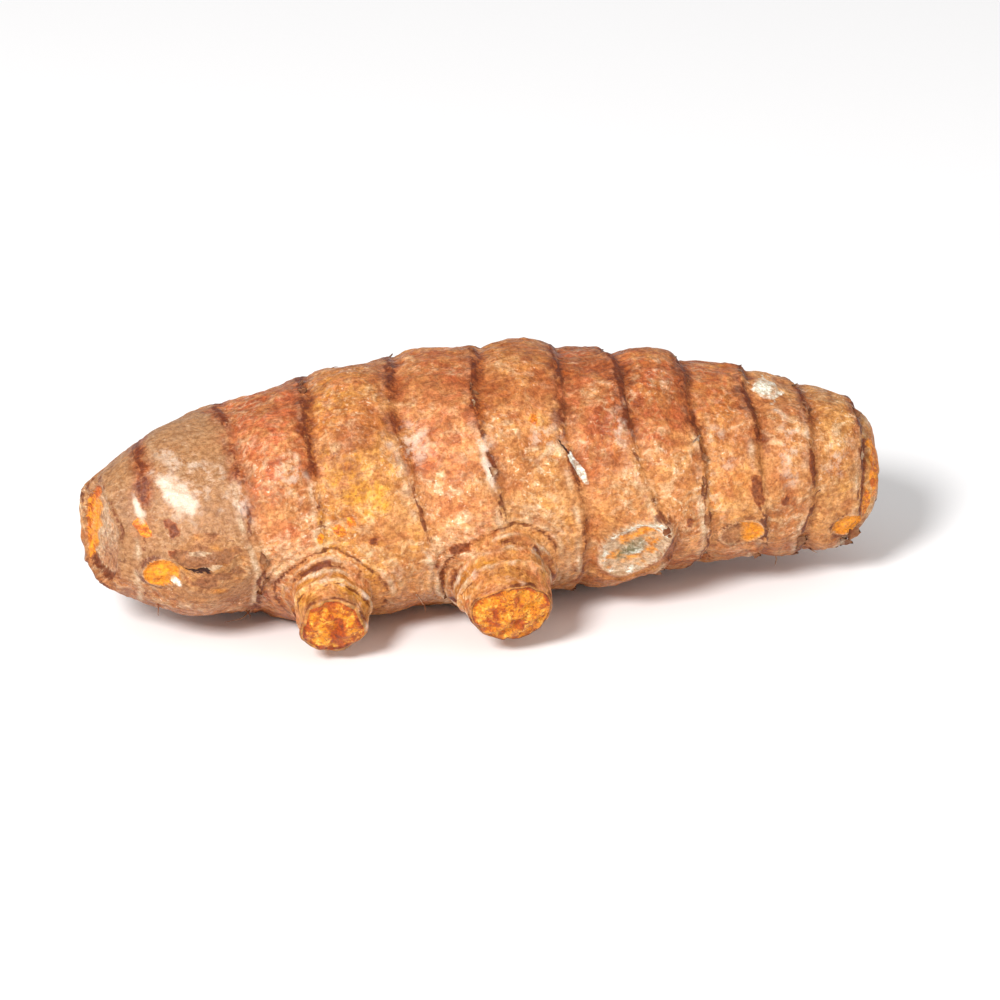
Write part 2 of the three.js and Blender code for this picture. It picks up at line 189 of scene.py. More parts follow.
# Small marks on the skin: place along X and round the finger in degrees, half length round the
# finger, half width along it in mm, and how far each slants.
MARKS = {
    # Glosses and sheens are painted highlights, where the roughness is also lower.
    "gloss": (
        (-29.3, 49, 2.6, 1.4, 0.5), (-32.9, 50, 1.1, 0.26, 0.1), (-0.3, 63, 1.6, 0.42, 0.15),
    ),
    "sheen": (
        (-27.2, 36, 3.0, 2.0, 0.5), (-24.0, 60, 2.0, 0.8, 0.3), (-0.2, 58, 2.4, 0.8, 0.1),
        (-18.5, 54, 2.0, 1.6, 0.2), (-7.0, 46, 2.2, 1.8, 0.0), (5.0, 48, 2.0, 1.4, 0.3),
        (12.0, 50, 2.2, 1.2, 0.0), (21.5, 56, 2.2, 1.2, 0.3), (28.0, 58, 2.4, 1.4, 0.0),
        (32.6, 62, 1.8, 1.0, 0.0), (-20.0, 300, 2.0, 1.2, 0.3),
    ),
    "mould": (
        (-29.9, 106, 0.3, 0.4, 0.0), (8.2, 67, 1.7, 0.55, 0.55), (26.6, 8, 1.6, 1.1, 0.0),
        (-8.0, 300, 1.5, 0.7, 0.2), (16.5, 330, 1.2, 0.5, 0.4), (30.5, 235, 1.3, 0.6, 0.0),
    ),
    "pale": (
        (-28.2, 86, 0.35, 1.3, -0.4), (-26.9, 92, 0.35, 0.9, -0.3), (26.0, 300, 2.0, 0.5, 0.2),
    ),
    "golden": (
        (-29.2, 93, 1.6, 0.9, 0.0), (-26.2, 92, 1.4, 1.0, 0.0), (-12.5, 62, 3.6, 2.2, 0.4),
        (-15.0, 80, 2.4, 1.8, 0.0), (18.0, 260, 3.0, 2.0, 0.0), (-30.0, 270, 2.6, 1.6, 0.0),
    ),
    "orange": (
        (-32.7, 69, 0.9, 0.6, 0.4), (-14.6, 82, 0.55, 0.45, 0.3), (-16.6, 84, 0.4, 0.35, 0.0),
        (-13.4, 78, 0.4, 0.4, 0.0), (4.4, 44, 0.5, 0.4, 0.0), (37.0, 60, 3.4, 0.5, 0.0),
        (36.4, 95, 1.6, 0.4, 0.0), (-12.0, 262, 0.8, 0.6, 0.3),
    ),
    "fleck": (
        (-30.4, 68, 0.6, 0.45, 0.6), (-28.4, 90, 0.4, 1.7, -0.4), (-26.3, 88, 0.5, 1.1, -0.3),
        (-26.2, 98, 0.45, 1.0, -0.4), (-29.6, 86, 0.5, 0.7, 0.0), (-25.0, 84, 0.4, 0.5, 0.0),
        (-27.2, 102, 0.5, 1.0, -0.3), (-24.8, 96, 0.4, 0.5, 0.0), (7.6, 61, 0.8, 0.35, 0.55),
        (30.2, 64, 1.4, 0.5, 0.2), (25.0, 81, 1.2, 0.5, 0.2), (28.0, 88, 0.5, 0.4, 0.0),
        (-11.4, 88, 0.35, 0.45, 0.0), (-3.4, 94, 0.6, 0.9, 0.0), (18.6, 96, 0.5, 0.4, 0.0),
        (35.9, 78, 3.4, 0.3, 0.0), (5.0, 280, 0.8, 0.6, 0.0), (-24.0, 310, 1.2, 0.7, 0.3),
        (12.0, 246, 1.0, 0.5, 0.2),
    ),
    "crack": (
        (-27.6, 95, 0.42, 0.6, -0.5), (-28.7, 95, 0.14, 0.4, -0.6), (7.0, 57, 0.7, 0.16, 0.6),
        (0.5, 250, 1.4, 0.2, 0.3),
    ),
}
SOFT_MARKS = ("gloss", "sheen")  # these fade out towards their edges
CRACK_DEPTH = 0.3

MASKS = (
    "ring", "rosy", "golden", "grey", "hollow", "flesh", "scar", "mould", "gloss", "fleck",
    "orange", "crack", "worn", "stain_and_shade", "dim", "edge", "pale", "sheen",
)

# Larger shreds that hang from the rings near the tip: ring, angle, length, width in mm, lift.
SHREDS = [
    (9, 128, 1.1, 2.0, 0.0), (9, 142, 1.0, 1.8, 0.1), (10, 122, 1.3, 1.7, 0.0),
    (10, 136, 1.2, 2.2, 0.1), (10, 150, 1.0, 1.6, 0.1), (8, 138, 0.9, 1.6, 0.0),
    (7, 130, 0.8, 1.4, 0.0), (10, 20, 0.8, 1.6, 0.1), (3, 150, 0.8, 1.5, 0.0),
]
SHRED_THICKNESS = 0.07
SHRED_SINK = 0.12  # how deep its foot is in the skin
SHRED_CLEARANCE = 1.2  # least height above the floor of the skin that carries one
# Rootlets that the eye catches: place along X, angle, length in mm.
ROOTLETS = [
    (-22.5, 150, 3.2), (-23.2, 146, 2.2), (-31.0, 140, 1.6), (29.0, 148, 1.8), (32.0, 150, 1.5),
    (-12.4, 345, 1.6),
]
ROOTLET_STEPS = 7
ROOTLET_BEND = 0.22  # how much its way wanders at each step
ROOTLET_RADII = (0.06, 0.11)
ROOTLET_SINK = 0.3
ROOTLET_CLEARANCE = 0.6
ROOTLET_FLOOR = 0.15  # least height of its points above the floor
RAY_START = 6  # how far outside the smooth skin the raised skin is looked for from

# Points of the meshes.
BODY_ROWS = 296
BODY_AROUND = 268
LEAST_ROWS = 9  # in the shortest stretch between rings
ROW_CROWDING = 0.35  # how far rows crowd towards the rings, from 0 to 1
SHOOT_ROWS = 60
SHOOT_AROUND = 112
HIDDEN_ROWS = 8  # of a shoot's rows, inside the finger

# The stage, in metres. The camera stands in front and a little to the left, and looks down on
# the root.
CAMERA_PLACE = (-0.0805, -0.4566, 0.2280)
CAMERA_AIM = (0.001, -0.002, 0.0108)
SENSOR_WIDTH = 36
NEAREST = 0.01  # what is nearer to the camera isn't drawn
FLOOR_REACH = 2.0
# Round soft lights: name, place, width, and power as a share of the key light's.
LIGHTS = (("key", (-0.30, -0.38, 0.42), 0.18, 1), ("fill", (0.4, -0.4, 0.4), 0.5, 0.12))
LIGHT_AIM = (0, 0, 0.01)
ROOM_BRIGHTNESS = 0.55


def linear(hex_colour):
    """An sRGB hex colour as a linear one."""
    parts = [int(hex_colour[i:i + 2], 16) / 255 for i in (1, 3, 5)]
    return tuple(c / 12.92 if c <= 0.04045 else ((c + 0.055) / 1.055) ** 2.4 for c in parts)


# ---- Settings a user would change ----


def colour_setting(name, hex_colour, description):
    return FloatVectorProperty(
        name=name, description=description, subtype="COLOR", size=3, min=0, max=1,
        default=linear(hex_colour),
    )


class RhizomeSkin(bpy.types.PropertyGroup):
    """Relief and colours of the corky skin"""

    ring_relief: FloatProperty(
        name="Ring Relief", description="How strongly the leaf-scar rings stand out",
        default=1.0, min=0, max=2, subtype="FACTOR",
    )
    wrinkle_depth: FloatProperty(
        name="Wrinkle Depth", description="Depth of the fine wrinkles along the root, in mm",
        default=0.07, min=0, max=0.3,
    )
    pit_depth: FloatProperty(
        name="Pit Depth", description="Depth of the small pits in the skin, in mm",
        default=0.13, min=0, max=0.4,
    )
    tan: colour_setting("Tan", "#cc9862", "Plain corky skin")
    # Also laid on as painted highlights on lips, rims and folds, and in wisps that are partly
    # glints.
    pale: colour_setting("Pale Flakes", "#e8d6b8", "Dry flaking outer skin")
    rosy: colour_setting("Rosy Skin", "#c16640", "Skin with a red-brown blush")
    golden: colour_setting("Golden Skin", "#d09734", "Rubbed skin that shows the orange beneath")
    grey: colour_setting("Greyish Skin", "#a57851", "Smooth older skin")
    # Also laid in as painted shade in the creases round scars and shoots.
    ring: colour_setting("Ring Line", "#662806", "Leaf-scar lines and cracks")
    # Also laid in as painted shade beside the rings, on the underside and in the skin's recesses.
    rust: colour_setting("Rust Stain", "#a04e18", "Brown stain beside the leaf-scar lines")
    # Also painted as highlights on glossy patches and as glints on pale crumbs.
    peel_and_highlight: colour_setting("Rubbed Peel", "#fbe6d0", "Loose crumbs and rubbed patches of the skin")
    crack: colour_setting("Crack", "#34150a", "Deep cracks")
    mould: colour_setting("Pale Bloom", "#eceee0", "Dry whitish bloom on scars")
    # The bloom in painted shade, laid in the hollow of a mouldy scar.
    mould_in_painted_shade: colour_setting("Bloom in Hollows", "#6f6848", "The same bloom where it lies deep")


class RhizomeFlesh(bpy.types.PropertyGroup):
    """Colours of the broken flesh"""

    bright: colour_setting("Bright Flesh", "#ee961e", "Fresh broken flesh")
    deep: colour_setting("Deep Flesh", "#b84f08", "Darker hollows of the broken flesh")
    dry: colour_setting("Dried Flesh", "#ffc14f", "Dried crumbs of flesh")


class RhizomeTrim(bpy.types.PropertyGroup):
    """Dried shreds and rootlets"""

    shreds: IntProperty(
        name="Sheath Shreds", description="Shreds of leaf sheath on the rings",
        default=90, min=0, max=300,
    )
    rootlets: IntProperty(
        name="Rootlets", description="Short dried rootlets", default=12, min=0, max=80,
    )


class RhizomeStage(bpy.types.PropertyGroup):
    """Floor, lights and camera"""

    floor: colour_setting("Floor", "#fbfafa", "Plain pale floor")
    key_power: FloatProperty(
        name="Key Power", description="Power of the large soft light",
        default=4.3, min=0, unit="POWER",
    )
    lens: FloatProperty(
        name="Lens", description="Focal length of the camera, in mm", default=195, min=20, max=400,
    )


# ---- Curves and noise ----


class Curve:
    """A centripetal Catmull-Rom curve through points, followed by its length."""

    def __init__(self, points, steps=160):
        p = np.array(points, float)
        p = np.vstack([2 * p[0] - p[1], p, 2 * p[-1] - p[-2]])
        t = np.linspace(0, 1, steps, endpoint=False)[:, None]
        spans = []
        for a, b, c, d in zip(p, p[1:], p[2:], p[3:]):
            ab, bc, cd = (math.sqrt(np.linalg.norm(v)) for v in (b - a, c - b, d - c))
            start = ((b - a) / ab - (c - a) / (ab + bc) + (c - b) / bc) * bc
            end = ((c - b) / bc - (d - b) / (bc + cd) + (d - c) / cd) * bc
            square, cube = 3 * (c - b) - 2 * start - end, 2 * (b - c) + start + end
            spans.append(b + start * t + square * t**2 + cube * t**3)
        self.points = np.vstack([*spans, p[-2:-1]])
        lengths = np.linalg.norm(np.diff(self.points, axis=0), axis=1)
        self.run = np.concatenate([[0], np.cumsum(lengths)])
        self.length = self.run[-1]
        self.directions = np.gradient(self.points, self.run, axis=0)
        self.directions /= np.linalg.norm(self.directions, axis=1)[:, None]

    def at(self, run):
        return np.stack([np.interp(run, self.run, column) for column in self.points.T], -1)

    def along(self, run):
        found = np.stack([np.interp(run, self.run, column) for column in self.directions.T], -1)
        return found / np.linalg.norm(found, axis=-1, keepdims=True)


outline = Curve(FINGER_OUTLINE)
centre = Curve(FINGER_LINE)


def seeded_draw(seed):
    """Draws from 0 to 1, the same on every run and the same as the solid's."""
    state = seed
    while True:
        state = (state * 1664525 + 1013904223) % 2**32
        yield state / 2**32


def bump(distance, reach):
    """1 where distance is 0, falling off smoothly either way, to about a third at reach."""
    return np.exp(-((distance / reach) ** 2))


def smooth(value, low, high):
    """0 up to low and 1 from high on, or the other way round, and smooth between them."""
    share = np.clip((value - low) / (high - low), 0, 1)
    return share * share * (3 - 2 * share)


def turn_between(a, b):
    """The angle from b to a, at most half a turn either way."""
    return np.arctan2(np.sin(a - b), np.cos(a - b))


def waves_at(points, size, seed, stretch=1.0):
    """Smooth noise from about -1 to 1 with lumps of size mm, stretch times as long along X."""
    scaled = points / (size * np.array([stretch, 1, 1])) + 13.7 * seed
    flat = np.array([noise.noise(p) for p in scaled.reshape(-1, 3).tolist()])
    return flat.reshape(points.shape[:-1])


def add_waves(points, layers, total=0):
    """Adds layers of noise to total: each has its size, seed, stretch along X and height."""
    for size, seed, stretch, height in layers:
        total = total + height * waves_at(points, size, seed, stretch)
    return total


def pits_at(points, size, seed, share):
    """Round dents from 0 to 1 deep, about size mm apart, in a share of the places they could be."""
    depth = []
    for p in (points.reshape(-1, 3) / size + 3.1 * seed).tolist():
        distances, places = noise.voronoi(p)
        here = noise.cell(places[0] * 9.7) < share
        depth.append(max(0, 1 - distances[0] / PIT_RADIUS) if here else 0)
    return smooth(np.array(depth), 0, 0.8).reshape(points.shape[:-1])


def unit(vector):
    return np.array(vector, float) / np.linalg.norm(vector)


# ---- The finger ----


def ring_waves():
    """Every ring's wander and every lump of the skin, drawn once."""
    draw = seeded_draw(SEED)
    waves = []
    for _ in RINGS:
        waves.append([
            (n, RING_WOBBLE * (0.5 + next(draw)) / n**0.6, 2 * math.pi * next(draw))
            for n in (2, 3, 4, 5, 7)
        ])
    lumps = []
    for _ in range(LUMP_COUNT):
        count = math.floor(5 * next(draw))
        side = -1 if next(draw) < 0.5 else 1
        per_mm = side * 2 * math.pi / (9 + 15 * next(draw))
        lumps.append((count, per_mm, 2 * math.pi * next(draw)))
    return waves, lumps


ring_wave_table, lump_table = ring_waves()


def ring_shift(ring, angle):
    """How far a ring lies from its middle, towards the tip, at angles round the finger."""
    ring, waves = RINGS[ring], ring_wave_table[ring]
    from_front = angle - math.radians(RING_LEAN_DEG)
    lean = ring["front"] * np.cos(from_front) + ring["low"] * np.cos(from_front - math.pi / 2)
    for count, size, phase in waves:
        lean = lean + size * np.cos(count * angle + phase)
    if "bend" in ring:
        at, by = ring["bend"]
        away = turn_between(angle, math.radians(at))
        lean = lean + by * bump(away, math.radians(BEND_REACH_DEG))
    return lean


def ring_values(key):
    """One value of every ring, with none at the finger's two ends."""
    return np.array([0, *[ring[key] for ring in RINGS], 0])


def outline_run(x):
    """The length along the outline at which it first reaches x."""
    beyond = np.argmax(outline.points[:, 0] >= x)
    return outline.run[beyond] if x > FINGER_OUTLINE[0][0] else 0.0


def line_frame(x):
    """Points of the centre line at outline places x, and the ways along, over and to the front."""
    first, last = FINGER_OUTLINE[0][0], FINGER_OUTLINE[-1][0]
    run = np.clip((x - first) / (last - first), 0, 1) * centre.length
    point, along = centre.at(run), centre.along(run)
    front = np.cross(along, [0, 0, 1])
    front /= np.linalg.norm(front, axis=-1, keepdims=True)
    return point, along, np.cross(front, along), front


def skin_place(at, turn):
    """A place on the smooth skin and the direction straight out of it."""
    point, _, over, front = line_frame(np.array(at))
    outward = over * math.cos(math.radians(turn)) + front * math.sin(math.radians(turn))
    radius = outline.at(outline_run(at))[1]
    return point + outward * radius, outward


def shoot_line(spot):
    """Where a side shoot starts on the skin, and the way it points."""
    place, _ = skin_place(spot["at"], spot["turn"])
    points = math.radians(spot["points"])
    return place, unit([spot["lean"], -math.sin(points), math.cos(points)])


def scar_axes(outward, roll):
    """Two directions across a scar, turned by its roll."""
    across = np.cross([0, 0, 1], outward)
    across = np.array([1.0, 0, 0]) if across @ across < 0.5 else across
    across = unit(across - outward * (across @ outward))
    beyond = np.cross(outward, across)
    c, s = math.cos(math.radians(roll)), math.sin(math.radians(roll))
    return across * c + beyond * s, beyond * c - across * s


class Finger:
    """The finger's skin on a grid of rows along it by angles round it, with its masks."""

    def __init__(self, settings):
        self.settings = settings
        self.angle = np.linspace(0, 2 * math.pi, BODY_AROUND, endpoint=False)[None, :]
        self.lay_rows()
        self.raise_skin()
        self.place()
        self.mask = {name: np.zeros(self.x.shape) for name in MASKS}
        self.stamp_scars()
        self.tint()

    def lay_rows(self):
        """Rows that follow the rings and crowd towards them."""
        stops = np.array([0, *[outline_run(ring["mid"]) for ring in RINGS], outline.length])
        counts = np.round(np.diff(stops) / outline.length * BODY_ROWS)
        counts = np.maximum(LEAST_ROWS, counts).astype(int)
        self.segment = np.repeat(np.arange(len(counts)), counts)
        self.segment = np.append(self.segment, len(counts) - 1)[:, None]
        even = np.concatenate([np.arange(n) / n for n in counts])
        crowded = even - ROW_CROWDING * np.sin(2 * math.pi * even) / (2 * math.pi)
        self.share = np.append(crowded, 1.0)[:, None]
        shifts = np.array([ring_shift(i, self.angle[0]) for i in range(len(RINGS))])
        none = np.zeros((1, BODY_AROUND))
        lines = stops[:, None] + np.vstack([none, shifts, none])
        start, end = lines[self.segment[:, 0]], lines[self.segment[:, 0] + 1]
        self.run = np.clip(start + (end - start) * self.share, 0, outline.length)
        self.before_gap, self.after_gap = self.run - start, end - self.run

    def raise_skin(self):
        """How far the skin stands out from the smooth outline."""
        point, self.slope = outline.at(self.run), outline.along(self.run)
        self.x, self.radius = point[..., 0], point[..., 1]
        before, after, share = self.before_gap, self.after_gap, self.share
        kept = ring_values("kept")
        crest, step = ring_values("crest") * kept, ring_values("step") * kept
        crest_in, crest_out = crest[self.segment], crest[self.segment + 1]
        step_in, step_out = step[self.segment], step[self.segment + 1]
        between = (self.segment > 0) & (self.segment < len(RINGS))
        ragged_in, ragged_out = self.ring_noise()
        relief = self.settings.ring_relief
        height = np.zeros(self.x.shape)
        height += step_in * (share - 1) * 0.5 + step_out * share * 0.5
        bulge = BULGE_GAIN * INTERNODE_BULGE * np.sin(math.pi * share) ** 0.8
        height += bulge * np.where(between, 1, END_BULGE)
        trough = TROUGH_DEPTH * ragged_in * bump(before - TROUGH_AT, TROUGH_REACH)
        height -= trough * (self.segment > 1)
        height += relief * crest_out * ragged_out * bump(after, CREST_RISE)
        height += (relief * crest_in * ragged_in + step_in) * bump(before, CREST_DROP)
        # Faint lines beside each ring, left by the leaf bases' fibres.
        for offset, size in SHEATH_LINES:
            height += size * ragged_out * bump(after - offset, SHEATH_LINE_REACH)
            height += size * ragged_in * bump(before - offset * 0.8, SHEATH_LINE_REACH)
        lumpy = LUMP_HEIGHT * smooth(self.radius, 3, 9)
        for count, per_mm, phase in lump_table:
            height += lumpy * np.cos(count * self.angle + per_mm * self.x + phase)
        for spot in [*SHOOTS, *BUD_SCARS]:
            reach = spot.get("long", spot.get("base")) + SWELL_REACH
            away = np.hypot(self.x - spot["at"], self.round_way(spot["turn"]))
            height += spot.get("swell", SHOOT_SWELL) * bump(away, reach)
        self.height = height * smooth(self.radius, 0, 4)

    def round_way(self, turn):
        """How far each point lies round the finger from an angle in degrees, in mm."""
        return turn_between(self.angle, math.radians(turn)) * self.radius

    def ring_noise(self):
        """Ragged crest heights of the ring before and the ring after each point, about 1."""
        x, y, rows = np.cos(self.angle[0]), np.sin(self.angle[0]), []
        for i in range(len(RINGS) + 2):
            circle = np.stack([np.full(BODY_AROUND, 5.0 * i), x, y], -1)
            coarse, fine = waves_at(circle * 4.2, 1.0, 2), waves_at(circle * 14, 1.0, 3)
            rows.append(0.9 + 0.9 * coarse + 0.5 * fine)
        rows = np.array(rows)
        return rows[self.segment[:, 0]], rows[self.segment[:, 0] + 1]

    def place(self):
        """Skin points in the drawing, with the fine relief."""
        point, along, over, front = line_frame(self.x)
        radius = self.radius * (1 + SECTION_OVAL * np.cos(2 * self.angle - OVAL_TURN))
        self.outward = np.cos(self.angle)[..., None] * over + np.sin(self.angle)[..., None] * front
        self.base = point + self.outward * radius[..., None]
        fine = self.settings.wrinkle_depth * add_waves(self.base, WRINKLES)
        fine = add_waves(self.base, SMALL_LUMPS, fine)
        self.pit = pits_at(self.base, PIT_SPACING, 9, PIT_SHARE)
        fine = fine - self.settings.pit_depth * self.pit
        # The base is worn smooth from the top down to the front.
        worn_round = smooth(np.abs(turn_between(self.angle, WORN_TURN)), *WORN_ROUND)
        self.worn = smooth(self.x, *WORN_ALONG) * worn_round
        fine = fine * (1 - WORN_FLATTER * self.worn)
        self.fine = fine * smooth(self.radius, 0.6, 4)
        height = self.height + self.fine
        out = np.maximum(0, radius + height * self.slope[..., 0])
        back = along * (height * self.slope[..., 1])[..., None]
        self.points = point - back + self.outward * out[..., None]
        for ends in (0, -1):
            self.points[ends] = self.points[ends].mean(0)

    def raise_mask(self, name, value, where=...):
        """Raises a mask to value wherever it is lower."""
        self.mask[name][where] = np.maximum(self.mask[name][where], value)

    def stamp_scars(self):
        """Presses every scar into the skin, and raises folds round the shoots."""
        spots = [(s, *skin_place(s["at"], s["turn"])) for s in BUD_SCARS]
        spots += [(s, np.array(s["place"], float), unit(s["faces"])) for s in END_SCARS]
        for scar, place, outward in spots:
            self.stamp(scar, place, outward)
        for spot in SHOOTS:
            self.fold_round(spot)

    def stamp(self, scar, place, outward):
        """Presses one scar's rim and its dished, grainy face into the skin."""
        first, second = scar_axes(outward, scar["roll"])
        offset = self.points - place
        u, v, w = offset @ first, offset @ second, offset @ outward
        near = (np.hypot(u, v) < SCAR_REACH * scar["long"]) & (np.abs(w) < SCAR_HEIGHT)
        skin = w[near]
        local = np.stack([u, v, np.zeros_like(u)], -1)[near]
        wander = add_waves(local, ((1.9, scar["long"], 1, 0.12), (1.2, scar["wide"], 1, 0.02)), 1)
        share = np.hypot(u[near] / scar["long"], v[near] / scar["wide"]) * wander
        top = scar["swell"] + scar["proud"]
        face = skin + (top - skin) * scar["flat"] + np.interp(share, SCAR_AT, SCAR_DEPTH)
        grain = add_waves(local, ((0.9, 11, 1, 0.13), (0.6, 12, 1, 0.04)))
        rings = 0.05 * np.sin(14 * share + 3 * waves_at(local, 2.5, 15)) * (scar["long"] > 2)
        face = face + (grain + rings) * smooth(share, 1.05, 0.85)
        keep = smooth(share, 1.32 + 0.25 * scar["flat"] * (scar["proud"] > TALL_RIM), 1.0)
        past_rim = (share - 1) * scar["long"]
        raised = skin * (1 - keep) + face * keep
        raised = raised - 0.2 * bump(past_rim - 0.55, 0.34) * scar["flat"]
        if scar["long"] > LARGE_SCAR:
            raised = raised + 0.2 * bump(share - 1.48, 0.06) - 0.1 * bump(share - 1.38, 0.05)
        self.points[near] += (raised - skin)[:, None] * outward
        self.colour_scar(scar, near, local, share, past_rim)

    def colour_scar(self, scar, near, local, share, past_rim):
        """Notes a scar's bare flesh, bloom, dried parts and rim in the masks."""
        u, v = local[:, 0], local[:, 1]
        mouldy, split = scar["mould"] > MOULDY, "split" in scar
        inside = smooth(share, 1.0, 0.93)
        rough = waves_at(local, 1.2, 13 + scar["long"])
        streaks = waves_at(local, 0.55, 16, 3)
        uneven = (0.9 * rough + 0.7 * streaks) * (scar["flesh"] < 0.95)
        orange = inside * np.clip(1.7 * scar["flesh"] - 0.35 + uneven, 0, 1)
        if mouldy:
            # The flesh shows in a broken ring, and the middle is a grey hollow in painted shade.
            ring = bump(share - 0.55, 0.35) + 0.9 * streaks + 0.7 * rough
            orange = inside * smooth(ring, 0.7, 1.1)
            hollow = np.hypot((u + 0.5) / 1.9, (v - 0.2) / 0.75)
            self.raise_mask("dim", inside * smooth(hollow * (1 + 0.5 * streaks), 1.25, 0.6), near)
            self.raise_mask("pale", 0.85 * inside, near)
        elif scar["proud"] > TALL_RIM:
            # Orange in the middle, and dried towards its ragged rim.
            orange = inside * smooth(0.95 - share + 0.5 * rough + 0.5 * streaks, 0.1, 0.5)
        elif 0.4 < scar["flesh"] < ALL_BARE:
            # One half is still orange, and the other has dried.
            side = (v if split else u) / scar["long"]
            orange = inside * smooth(side + 0.4 * rough, 0, 0.25)
            dried = 0.5 * inside * (1 - orange) * smooth(share, 0.1, 0.8)
            self.raise_mask("fleck", dried, near)
        if split:
            # The strip of orange runs on over the rim, and the rest is pale and rosy.
            side = v / scar["wide"]
            orange = inside * smooth(side + 0.25 * rough, 0.55, 0.72)
            over_rim = (1 - inside) * smooth(share, 1.25, 1.1) * smooth(side, 0.4, 0.7)
            self.raise_mask("orange", over_rim, near)
            self.raise_mask("pale", 0.6 * inside * (1 - orange), near)
            self.raise_mask("rosy", 0.4 * inside, near)
        if scar["flesh"] >= ALL_BARE:
            browned = inside * smooth(share + 0.3 * rough + scar.get("brown", 0), 0.6, 1.0)
            self.raise_mask("fleck", browned * 0.8, near)
        bloom = scar["mould"] * (0.45 + 1.6 * rough + 1.3 * streaks - 1.2 * orange)
        self.raise_mask("mould", inside * np.clip(bloom, 0, 0.9), near)
        self.raise_mask("scar", inside, near)
        self.raise_mask("flesh", orange, near)
        # Painted highlight on the rim's lip.
        self.raise_mask("edge", bump(past_rim + 0.1, 0.22) * scar["flat"], near)
        # Painted shade in the crease past the rim, and in a second one past a large scar's fold.
        reach = 0.18 + 0.05 * scar["long"]
        crease = bump(past_rim - 0.8 * reach, reach)
        crease = crease + 0.5 * bump(past_rim - 1.45, 0.36) * (scar["long"] > LARGE_SCAR)
        crease = crease * np.clip(0.85 + 0.9 * waves_at(local, 2.2, 17), 0, 1)
        if mouldy:
            crease = 0.6 * crease * smooth(u / scar["long"], -0.7, 0.5)
        depth = 1.15 if scar["flesh"] == 1 else 1.7 if split else 1
        crease = crease * (0.15 + 0.85 * scar["flat"]) * depth
        self.raise_mask("ring", crease, near)
        self.mask["ring"][near] *= 1 - inside

    def fold_round(self, spot):
        """Papery folds of skin round the foot of a side shoot, with painted highlights on them and
        painted shade in the crease past each.
        """
        place, aim = shoot_line(spot)
        offset = self.points - place
        w = offset @ aim
        across = np.linalg.norm(offset - w[..., None] * aim, axis=-1)
        across = across * add_waves(self.base, ((3.0, 14, 1, 0.06), (0.9, 18, 1, 0.02)), 1)
        close = (w > -FOOT_DEPTH) & (across < FOOT_REACH)
        patchy = np.clip(0.7 + 1.1 * waves_at(self.base, 3.5, 19), 0, 1)
        rise, creases = 0, 0
        for gap, size in FOLDS:
            past = across - spot["base"] - gap
            crease = bump(past - FOLD_CREASE_AT, 0.16)
            rise = rise + patchy * size * (bump(past, 0.24) - 0.6 * crease)
            creases = creases + patchy * 2.2 * size * crease
            lit = patchy * 3 * size * bump(past + 0.05, 0.2)
            self.mask["edge"] = np.clip(self.mask["edge"] + close * lit, 0, 1)
        creases = creases + 0.8 * bump(across - spot["base"] - 1.15, 0.2)
        self.points += (rise * close)[..., None] * aim
        # Painted shade in the creases, in the ring lines' colour.
        self.raise_mask("ring", np.clip(close * creases, 0, 1))

    def tint(self):
        """Where the skin is rosy, golden, greyish, lined or marked."""
        tints = np.array(SKIN_TINTS)[self.segment[:, 0]]
        cloud, small = waves_at(self.base, 5.5, 21), waves_at(self.base, 1.8, 22)
        top = 0.5 + 0.5 * np.cos(self.angle + 0.1)
        edge = smooth(np.minimum(self.before_gap, self.after_gap) + 0.8 * small, 0, 1.6)
        # The tops are redder: partly the skin's own red, partly painted shade.
        red_and_shaded_top = np.array(RED_AND_SHADED_TOPS)[self.segment] * smooth(top + 0.25 * cloud, 0.62, 0.98)
        rosy = tints[:, :1] * (0.75 + 0.7 * cloud + 0.6 * small) * (0.55 + 0.45 * edge)
        golden = tints[:, 1:2] * (0.7 + 0.9 * waves_at(self.base, 4.0, 23) + 0.5 * small)
        # Painted shade: greyer towards the underside.
        grey = tints[:, 2:] * (0.8 + 0.5 * cloud) + 0.35 * smooth(-np.cos(self.angle), 0.55, 1)
        free = 1 - 0.8 * self.mask["scar"]
        for name, value in (("rosy", rosy + 0.85 * red_and_shaded_top), ("golden", golden), ("grey", grey)):
            self.raise_mask(name, value * free)
            self.mask[name] = np.clip(self.mask[name], 0, 1)
        self.mask["worn"] = self.worn * (1 - self.mask["scar"])
        self.line_rings(top, small)
        # Painted shade: darker where the fine relief dips and in the pits.
        self.mask["hollow"] = np.clip(0.5 - 2.2 * self.fine + 0.15 * self.pit, 0, 1)
        wobble = 0.5 * small + 0.4 * waves_at(self.base, 0.7, 26)
        for kind, marks in MARKS.items():
            edges = (1.5, 0.3) if kind in SOFT_MARKS else (1.2, 0.75)
            for at, turn, long, wide, slant in marks:
                way = self.round_way(turn)
                reach = np.hypot(way / long, (self.x - at - slant * way) / wide) * (1 + wobble)
                self.raise_mask(kind, smooth(reach, *edges))
        self.points -= CRACK_DEPTH * self.mask["crack"][..., None] * self.outward

    def line_rings(self, top, small):
        """Dark lines of the rings: broad and ragged on the top, thin and broken on the front."""
        tops, sides = ring_values("top"), ring_values("side")
        over = smooth(top + 0.12 * small, 0.62, 0.92)
        under = -np.cos(self.angle)
        broken = np.clip(0.7 + 1.3 * waves_at(self.base, 2.6, 24) + 0.6 * small, 0, 1)
        ragged = add_waves(self.base, ((1.3, 25, 1, 0.45), (0.5, 27, 1, 0.25)))
        patchy_top, patchy_side = np.clip(0.75 + small, 0.15, 1), np.clip(0.55 + small, 0, 1)
        line = 0
